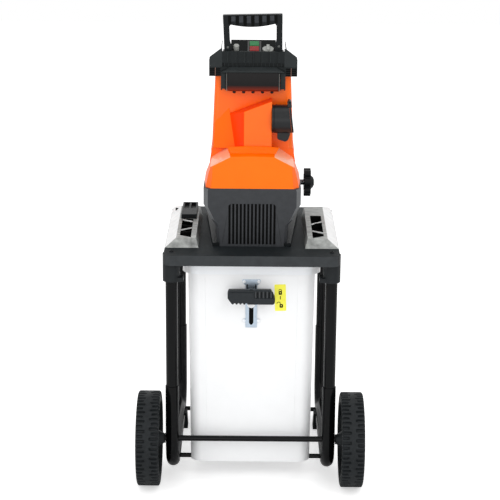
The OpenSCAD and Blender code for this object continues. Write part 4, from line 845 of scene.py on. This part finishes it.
# Dark blocks behind the grille's bars: painted shade inside the cover.
vent_shade_blocks = [((-VENT_SHADE_HALF, VENT_SHADE_FLOOR, GRILLE_LOW), (VENT_SHADE_HALF, VENT_SHADE_REAR, GRILLE_TOP))]
for side in (-1, 1):
    x = side * VENT_SHADE_EDGE_X
    vent_shade_blocks.append(((x - VENT_SHADE_EDGE_HALF, VENT_SHADE_FRONT, GRILLE_LOW), (x + VENT_SHADE_EDGE_HALF, VENT_SHADE_REAR, GRILLE_TOP)))
vent_shade_blocks.append(((-VENT_SHADE_HALF, VENT_SHADE_FRONT, GRILLE_TOP), (VENT_SHADE_HALF, VENT_SHADE_REAR, GRILLE_TOP + 0.0012)))
blocks("vent_painted_shade", vent_shade_blocks, "ink")
CREASE = [(0.0515, 0.5725), (0.0522, 0.5725), (0.0612, 0.5165), (0.0602, 0.5165)]
# Dark strips along the creases: painted shade.
for side, word in SIDES:
    prism("vent_crease_" + word, on_side(side, CREASE), VENT_FRONT - 0.0002, VENT_FRONT + 0.0012, "crease",
        width=0.0003)

# Flat facet that leads from the cable duct's flank to the chute's left edge, in a darker copy of the orange:
# painted shade
CHUTE_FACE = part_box("feed_chute")[0].y + 0.0004
FACET_LOW = HOOD_TOP + 0.0004
FACET_LEFT, FACET_RIGHT = -0.081, -0.0358
bm = bmesh.new()
facet_top = bm.verts.new((-0.049, CHUTE_FACE, 0.788))
facet_side = bm.verts.new((-0.0775, CHUTE_FACE, 0.757))
front_left = bm.verts.new((FACET_LEFT, -0.0597, FACET_LOW))
front_right = bm.verts.new((FACET_RIGHT, -0.0692, FACET_LOW))
back_left = bm.verts.new((FACET_LEFT, CHUTE_FACE, FACET_LOW))
back_right = bm.verts.new((FACET_RIGHT, CHUTE_FACE, FACET_LOW))
bm.faces.new((facet_top, facet_side, front_left, front_right))
bm.faces.new((facet_side, back_left, front_left))
bm.faces.new((front_left, back_left, back_right, front_right))
bm.faces.new((facet_top, front_right, back_right))
bm.faces.new((facet_top, back_right, back_left, facet_side))
piece("duct_facet", bm, "orange_facet_painted_shade", "base", width=0.0006)

# Mains inlet: a barrel with a groove at its foot and a sloping mouth, two hinge ears and a rounded hook
INLET_Y, INLET_Z, INLET_R = -0.080, 0.769, 0.029
INLET_FOOT, INLET_FLOOR = 0.039, 0.044
GROOVE_R = INLET_R - 0.001
BORE_R = 0.025
MOUTH_TOP = 0.073
MOUTH_TILT = math.radians(7)
MOUTH = MOUTH_TOP + INLET_R * math.sin(MOUTH_TILT)
BARREL = [(INLET_FOOT, 0), (INLET_FOOT, INLET_R), (0.0421, INLET_R), (0.0426, GROOVE_R), (0.0434, GROOVE_R),
    (0.0439, INLET_R), (MOUTH, INLET_R), (MOUTH, BORE_R), (INLET_FLOOR, BORE_R), (INLET_FLOOR, 0)]
bm = bmesh.new()
add_turned(bm, BARREL, (0, INLET_Y, INLET_Z), "x", steps=64)
for vert in bm.verts:
    if abs(vert.co.x - MOUTH) < 1e-6:
        vert.co.x -= (vert.co.z - INLET_Z) * math.tan(MOUTH_TILT)
piece("inlet_barrel", bm, "socket", "base", ("inlet_socket",))
HINGE_EAR = [(-0.0026, -0.004), (0.006, -0.004), *arc((0.0021, 0.006), 0.0039, 0, 180, 10), (-0.0026, 0.004)]
HINGE_EAR_ENDS = (0.008, 0.012)
HINGE_PLACE = Matrix.Translation((MOUTH_TOP, INLET_Y, INLET_Z + INLET_R)) @ Matrix.Rotation(-MOUTH_TILT, 4, "Y")
HOOK = [(0.0503, 0.744), (0.0503, 0.7288), (0.053, 0.7262), (0.066, 0.7221), (0.0705, 0.7235), (0.0735, 0.7272),
    (0.0768, 0.738), (0.0768, 0.744)]
HOOK_HALF = 0.004
bm = bmesh.new()
for side in (-1, 1):
    verts = add_prism(bm, HINGE_EAR, *sorted(side * end for end in HINGE_EAR_ENDS))
    bmesh.ops.transform(bm, matrix=HINGE_PLACE, verts=verts)
add_prism(bm, HOOK, INLET_Y - HOOK_HALF, INLET_Y + HOOK_HALF)
piece("inlet_ears_and_hook", bm, "socket", "base", width=0.0006)

# Star knob's grey cap
KNOB_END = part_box("adjuster_knob")[1].x
KNOB_Y, KNOB_Z = 0.09, 0.596
CAP_PROFILE = [(-0.004, 0), (-0.004, 0.0078), (0.0002, 0.0078), (0.0016, 0.0066), (0.0022, 0.0035), (0.0022, 0)]
bm = bmesh.new()
add_turned(bm, CAP_PROFILE, (KNOB_END, KNOB_Y, KNOB_Z), "x", steps=36)
piece("adjuster_cap", bm, "silver", "adjuster")

# Collection box: a fine ridge around the front panel
RIDGE_RIGHT = [(0.0885, 0.108), (0.0925, 0.112), (0.0965, 0.455)]
RIDGE = [(-x, z) for x, z in reversed(RIDGE_RIGHT)] + RIDGE_RIGHT
RIDGE_SIDE_X = 0.09
RIDGE_FOOT_Z = 0.111
RIDGE_SINK, RIDGE_RISE = 0.0004, 0.0006
bpy.context.view_layer.update()


def box_front(x, z):
    """The place of the box's front face at a spot of its front view."""
    hit, spot, *rest = nodes["collection_box"].ray_cast(Vector((x, -1, z)), Vector((0, 1, 0)))
    return spot.y if hit else BOX_FRONT


bm = bmesh.new()
rows = []
for x, z in RIDGE:
    y = box_front(x, z)
    step = math.copysign(0.0011 if abs(x) > RIDGE_SIDE_X else 0.0008, -x)
    up = 0.0011 if z < RIDGE_FOOT_Z else 0.0
    rows.append([bm.verts.new((x, y + RIDGE_SINK, z)), bm.verts.new((x + step / 2, y - RIDGE_RISE, z + up / 2)),
        bm.verts.new((x + step, y + RIDGE_SINK, z + up))])
add_loft(bm, rows, ends=False)
piece("box_panel_ridge", bm, "box", "box", sharp=60)

# Rounded upper corners of the grille
CORNER_R = 0.008
CORNER_TOP = 0.5996
CORNER = arc((GRILLE_HALF - CORNER_R, CORNER_TOP - CORNER_R), CORNER_R, 0, 90, 8)
CORNER.append((GRILLE_HALF + 0.0004, CORNER_TOP + 0.0004))
for side, word in SIDES:
    prism("grille_corner_" + word, on_side(side, CORNER), VENT_FRONT - 0.00015, VENT_FRONT + 0.0034, "hood")

# Head: raised wings, dark grids under them as painted shade in the cuts, ribs under them with a painted orange
# reflection, small ribs in the groove, flutes and two thin fins
WING = [(0.0632, 0.9096), (0.0662, 0.9096), (0.0893, 0.8922), (0.0893, 0.8716), (0.0632, 0.8716)]
GRID_ROWS, GRID_LOW, GRID_PITCH, GRID_HEIGHT = 4, 0.8539, 0.0042, 0.0029
GRID_COLUMNS = ((0.0668, 0.0762), (0.0786, 0.0884))
WING_RIB_X, WING_RIB_HALF = 0.0774, 0.0007
WING_RIB_LOW, WING_RIB_TOP = 0.8537, 0.8706
for side, word in SIDES:
    prism("head_wing_" + word, on_side(side, WING), HEAD_FRONT - 0.0005, HEAD_FRONT + 0.0032, "wing",
        width=0.0006)
    # Dark plates in the cuts under each wing: painted shade.
    grid = []
    for row in range(GRID_ROWS):
        low = GRID_LOW + row * GRID_PITCH
        for column in GRID_COLUMNS:
            left, right = sorted(side * x for x in column)
            grid.append(((left, HEAD_FRONT - 0.0002, low), (right, HEAD_FRONT + 0.001, low + GRID_HEIGHT)))
    blocks("wing_grid_" + word, grid, "ink")
    # The rib takes the greyish pink: a painted reflection of the orange.
    x = side * WING_RIB_X
    blocks("wing_rib_" + word, [((x - WING_RIB_HALF, HEAD_FRONT - 0.0013, WING_RIB_LOW),
        (x + WING_RIB_HALF, HEAD_FRONT + 0.0005, WING_RIB_TOP))], "painted_orange_reflection", width=0.0003)


def upright_ribs(count, pitch, half, front, rear, low, top):
    """Blocks for a row of upright ribs about the middle of the head."""
    spots = [(i - count // 2) * pitch for i in range(count)]
    return [((x - half, HEAD_FRONT + front, low), (x + half, HEAD_FRONT + rear, top)) for x in spots]


groove_ribs = upright_ribs(count=15, pitch=0.0083, half=0.0005, front=0.0004, rear=0.0042, low=0.8718,
    top=0.8802)
blocks("groove_ribs", groove_ribs, "wing")
flutes = upright_ribs(count=7, pitch=0.0175, half=0.0006, front=-0.0005, rear=0.0005, low=0.8812, top=0.9028)
blocks("head_flutes", flutes, "wing", width=0.0003)
FIN_FRONT, FIN_REAR = -0.047, -0.043
LEFT_FIN = [(-0.067, 0.9012), (-0.0654, 0.9012), (-0.0627, 0.9232), (-0.0638, 0.9235)]
RIGHT_FIN = [(0.069, 0.9012), (0.0667, 0.9012), (0.0638, 0.9228), (0.0651, 0.9225)]
bm = bmesh.new()
for fin in (LEFT_FIN, RIGHT_FIN):
    add_prism(bm, fin, FIN_FRONT, FIN_REAR)
piece("head_fins", bm, "trim", "base", width=0.0003)

# Deck: foot walls along the housing, darkened as painted shade, pale tails behind the rails and a small dark
# hook at the left one
FOOT_WALL = [(0.0675, -0.1212), (0.0805, -0.1242), (0.1005, 0.134), (0.0762, 0.134), (0.0762, -0.049),
    (0.0675, -0.049)]
# The foot walls take the near black trim: painted shade at the housing's foot.
for side, word in SIDES:
    prism("foot_wall_" + word, on_side(side, FOOT_WALL), DECK_Z - 0.0002, DECK_Z + 0.008, "trim", "base", "z",
        width=0.0008)
FALL_START = 0.151
FALL = 0.014 / 0.114
TAIL_IN, TAIL_OUT = 0.148, 0.1787
TAIL_START, TAIL_END = RAIL_REAR - 0.0005, 0.2642
TAIL_HEIGHT, SHEET_SINK = 0.0012, 0.0002
TAIL_NEAR = [(TAIL_IN, TAIL_START), (TAIL_OUT, TAIL_START), (TAIL_OUT, FALL_START), (TAIL_IN, FALL_START)]
TAIL_FAR = [(TAIL_IN, FALL_START), (TAIL_OUT, FALL_START), (TAIL_OUT, 0.247), (0.1738, 0.2592),
    (0.1615, TAIL_END), (TAIL_IN, TAIL_END)]


def deck_height(y):
    """The height of the deck's top, which falls behind the housing."""
    return DECK_Z - FALL * max(0.0, y - FALL_START)


def add_sheet(bm, outline, thickness):
    """A thin sheet that lies on the deck."""
    top = [bm.verts.new((x, y, deck_height(y) + thickness)) for x, y in outline]
    low = [bm.verts.new((x, y, deck_height(y) - SHEET_SINK)) for x, y in outline]
    bm.faces.new(top)
    bm.faces.new(list(reversed(low)))
    for i in range(len(outline)):
        j = (i + 1) % len(outline)
        bm.faces.new((top[i], low[i], low[j], top[j]))


for side, word in SIDES:
    bm = bmesh.new()
    for plan in (TAIL_NEAR, TAIL_FAR):
        add_sheet(bm, on_side(side, plan), TAIL_HEIGHT)
    piece("rail_tail_" + word, bm, "rail_pale_and_painted_sheen", "base")
CLIP_HOOK = [(-0.1698, 0.5218), (-0.1612, 0.5202), (-0.1672, DECK_Z), (-0.1692, DECK_Z)]
prism("clip_hook", CLIP_HOOK, RAIL_REAR + 0.0002, RAIL_REAR + 0.012, "ink", width=0.0004)


# Rails: frames that narrow the windows, with a slanting front edge, and two pale ribs across each
def add_strip(bm, start, end, half, low, high):
    """A bar between two points of the plan, drawn about the line between them."""
    along = (Vector(end) - Vector(start)).normalized() * half
    across = Vector((-along.y, along.x))
    corners = [Vector(start) + across, Vector(end) + across, Vector(end) - across, Vector(start) - across]
    add_prism(bm, [(p.x, p.y) for p in corners], low, high, "z")


WINDOW_FRONT = -0.1288
WINDOW_REAR = {"left": 0.0215, "right": 0.0565}
FRAME_INNER, FRAME_OUTER = (0.1182, 0.1256), (0.1492, 0.1528)
FRAME_SLANT = [(0.1254, WINDOW_FRONT), (0.1494, WINDOW_FRONT), (0.1494, -0.1095), (0.1254, -0.1255)]
WINDOW_RIB_HALF = 0.0009
WINDOW_RIB_INNER, WINDOW_RIB_OUTER = 0.1265, 0.1495
WINDOW_RIB_ENDS = {"left": ((-0.047, -0.066), (0.004, 0.0195)),
    "right": ((-0.0115, 0.0105), (-0.065, -0.082))}
for side, word in SIDES:
    rear = WINDOW_REAR[word]
    plans = [[(near, WINDOW_FRONT), (far, WINDOW_FRONT), (far, rear), (near, rear)]
        for near, far in (FRAME_INNER, FRAME_OUTER)] + [FRAME_SLANT]
    bm = bmesh.new()
    for plan in plans:
        add_prism(bm, on_side(side, plan), RAIL_TOP - 0.0035, RAIL_TOP - 0.0002, "z")
    piece("window_frame_" + word, bm, "rail", "base")
    bm = bmesh.new()
    for inner_y, outer_y in WINDOW_RIB_ENDS[word]:
        add_strip(bm, (side * WINDOW_RIB_INNER, inner_y), (side * WINDOW_RIB_OUTER, outer_y), WINDOW_RIB_HALF,
            RAIL_TOP - 0.0026, RAIL_TOP - 0.0004)
    piece("window_ribs_" + word, bm, "rail_pale_and_painted_sheen", "base")

# Camera, fitted to the photograph
IMAGE = 500.0
SENSOR = 36.0
FOCAL_PIXELS = 1575.0
SHIFT_PIXELS = -1.75
PITCH, ROLL = math.radians(15.9), math.radians(0.47)
CAMERA_PLACE = (0, -3.252, 1.393)
camera_data = bpy.data.cameras.new("camera")
camera_data.sensor_width = SENSOR
camera_data.lens = FOCAL_PIXELS * SENSOR / IMAGE
camera_data.shift_x = SHIFT_PIXELS / IMAGE
camera_data.clip_end = 50.0
camera = bpy.data.objects.new("camera", camera_data)
scene.collection.objects.link(camera)
turn = Matrix.Rotation(math.pi / 2 - PITCH, 4, "X") @ Matrix.Rotation(ROLL, 4, "Z")
camera.matrix_world = Matrix.Translation(CAMERA_PLACE) @ turn
scene.camera = camera

# World: soft light from all sides, and plain white for the camera, reflections and transmission
scene.view_settings.view_transform = "Standard"
AMBIENT = 0.88
WHITE = (1, 1, 1, 1)
world = bpy.data.worlds.new("studio")
scene.world = world
world.use_nodes = True
tree = world.node_tree
tree.nodes.clear()
path = add_node(tree, "LightPath")
seen = add_node(tree, "Math")
seen.operation = "MAXIMUM"
seen_more = add_node(tree, "Math")
seen_more.operation = "MAXIMUM"
ambient = add_node(tree, "Background", Color=WHITE, Strength=AMBIENT)
white = add_node(tree, "Background", Color=WHITE)
mix = add_node(tree, "MixShader")
out = add_node(tree, "OutputWorld")
tree.links.new(path.outputs["Is Camera Ray"], seen.inputs[0])
tree.links.new(path.outputs["Is Glossy Ray"], seen.inputs[1])
tree.links.new(seen.outputs[0], seen_more.inputs[0])
tree.links.new(path.outputs["Is Transmission Ray"], seen_more.inputs[1])
tree.links.new(seen_more.outputs[0], mix.inputs["Fac"])
tree.links.new(ambient.outputs[0], mix.inputs[1])
tree.links.new(white.outputs[0], mix.inputs[2])
tree.links.new(mix.outputs[0], out.inputs["Surface"])


def lamp(name, place, target, size, watts):
    """A rectangular lamp that faces a target."""
    data = bpy.data.lights.new(name, "AREA")
    data.shape = "RECTANGLE"
    data.size, data.size_y = size
    data.energy = watts
    obj = bpy.data.objects.new(name, data)
    scene.collection.objects.link(obj)
    obj.location = place
    obj.rotation_euler = (Vector(target) - Vector(place)).to_track_quat("-Z", "Y").to_euler()


MIDDLE = (0, 0, 0.5)
lamp("key", (1.4, -2.2, 2.7), MIDDLE, (1.8, 1.8), 17)
lamp("fill", (-1.8, -1.9, 1.5), MIDDLE, (1.6, 1.6), 10)
lamp("top", (0, 0.3, 3.2), MIDDLE, (2.4, 2.4), 12)
lamp("front", (0, -3.6, 0.8), (0, 0, 0.4), (2.4, 1.2), 12)

# Floor: matte, with a glow that only the camera sees, so that it is white outside the object's shadow
FLOOR_HALF = 7.0
FLOOR_GLOW = 0.5
FLOOR_COLOUR = (0.86, 0.86, 0.86, 1)
floor_data = bpy.data.meshes.new("floor")
floor_corners = [(x * FLOOR_HALF, y * FLOOR_HALF, 0) for x, y in ((-1, -1), (1, -1), (1, 1), (-1, 1))]
floor_data.from_pydata(floor_corners, [], [(0, 1, 2, 3)])
floor = bpy.data.objects.new("floor", floor_data)
scene.collection.objects.link(floor)
floor_mat = bpy.data.materials.new("pale_floor")
floor_mat.use_nodes = True
tree = floor_mat.node_tree
tree.nodes.clear()
path = add_node(tree, "LightPath")
matte = add_node(tree, "BsdfDiffuse", Color=FLOOR_COLOUR)
glow = add_node(tree, "Emission", Strength=FLOOR_GLOW)
lift = add_node(tree, "AddShader")
pick = add_node(tree, "MixShader")
out = add_node(tree, "OutputMaterial")
tree.links.new(matte.outputs[0], lift.inputs[0])
tree.links.new(glow.outputs[0], lift.inputs[1])
tree.links.new(path.outputs["Is Camera Ray"], pick.inputs["Fac"])
tree.links.new(matte.outputs[0], pick.inputs[1])
tree.links.new(lift.outputs[0], pick.inputs[2])
tree.links.new(pick.outputs[0], out.inputs["Surface"])
floor_data.materials.append(floor_mat)

bpy.context.view_layer.update()
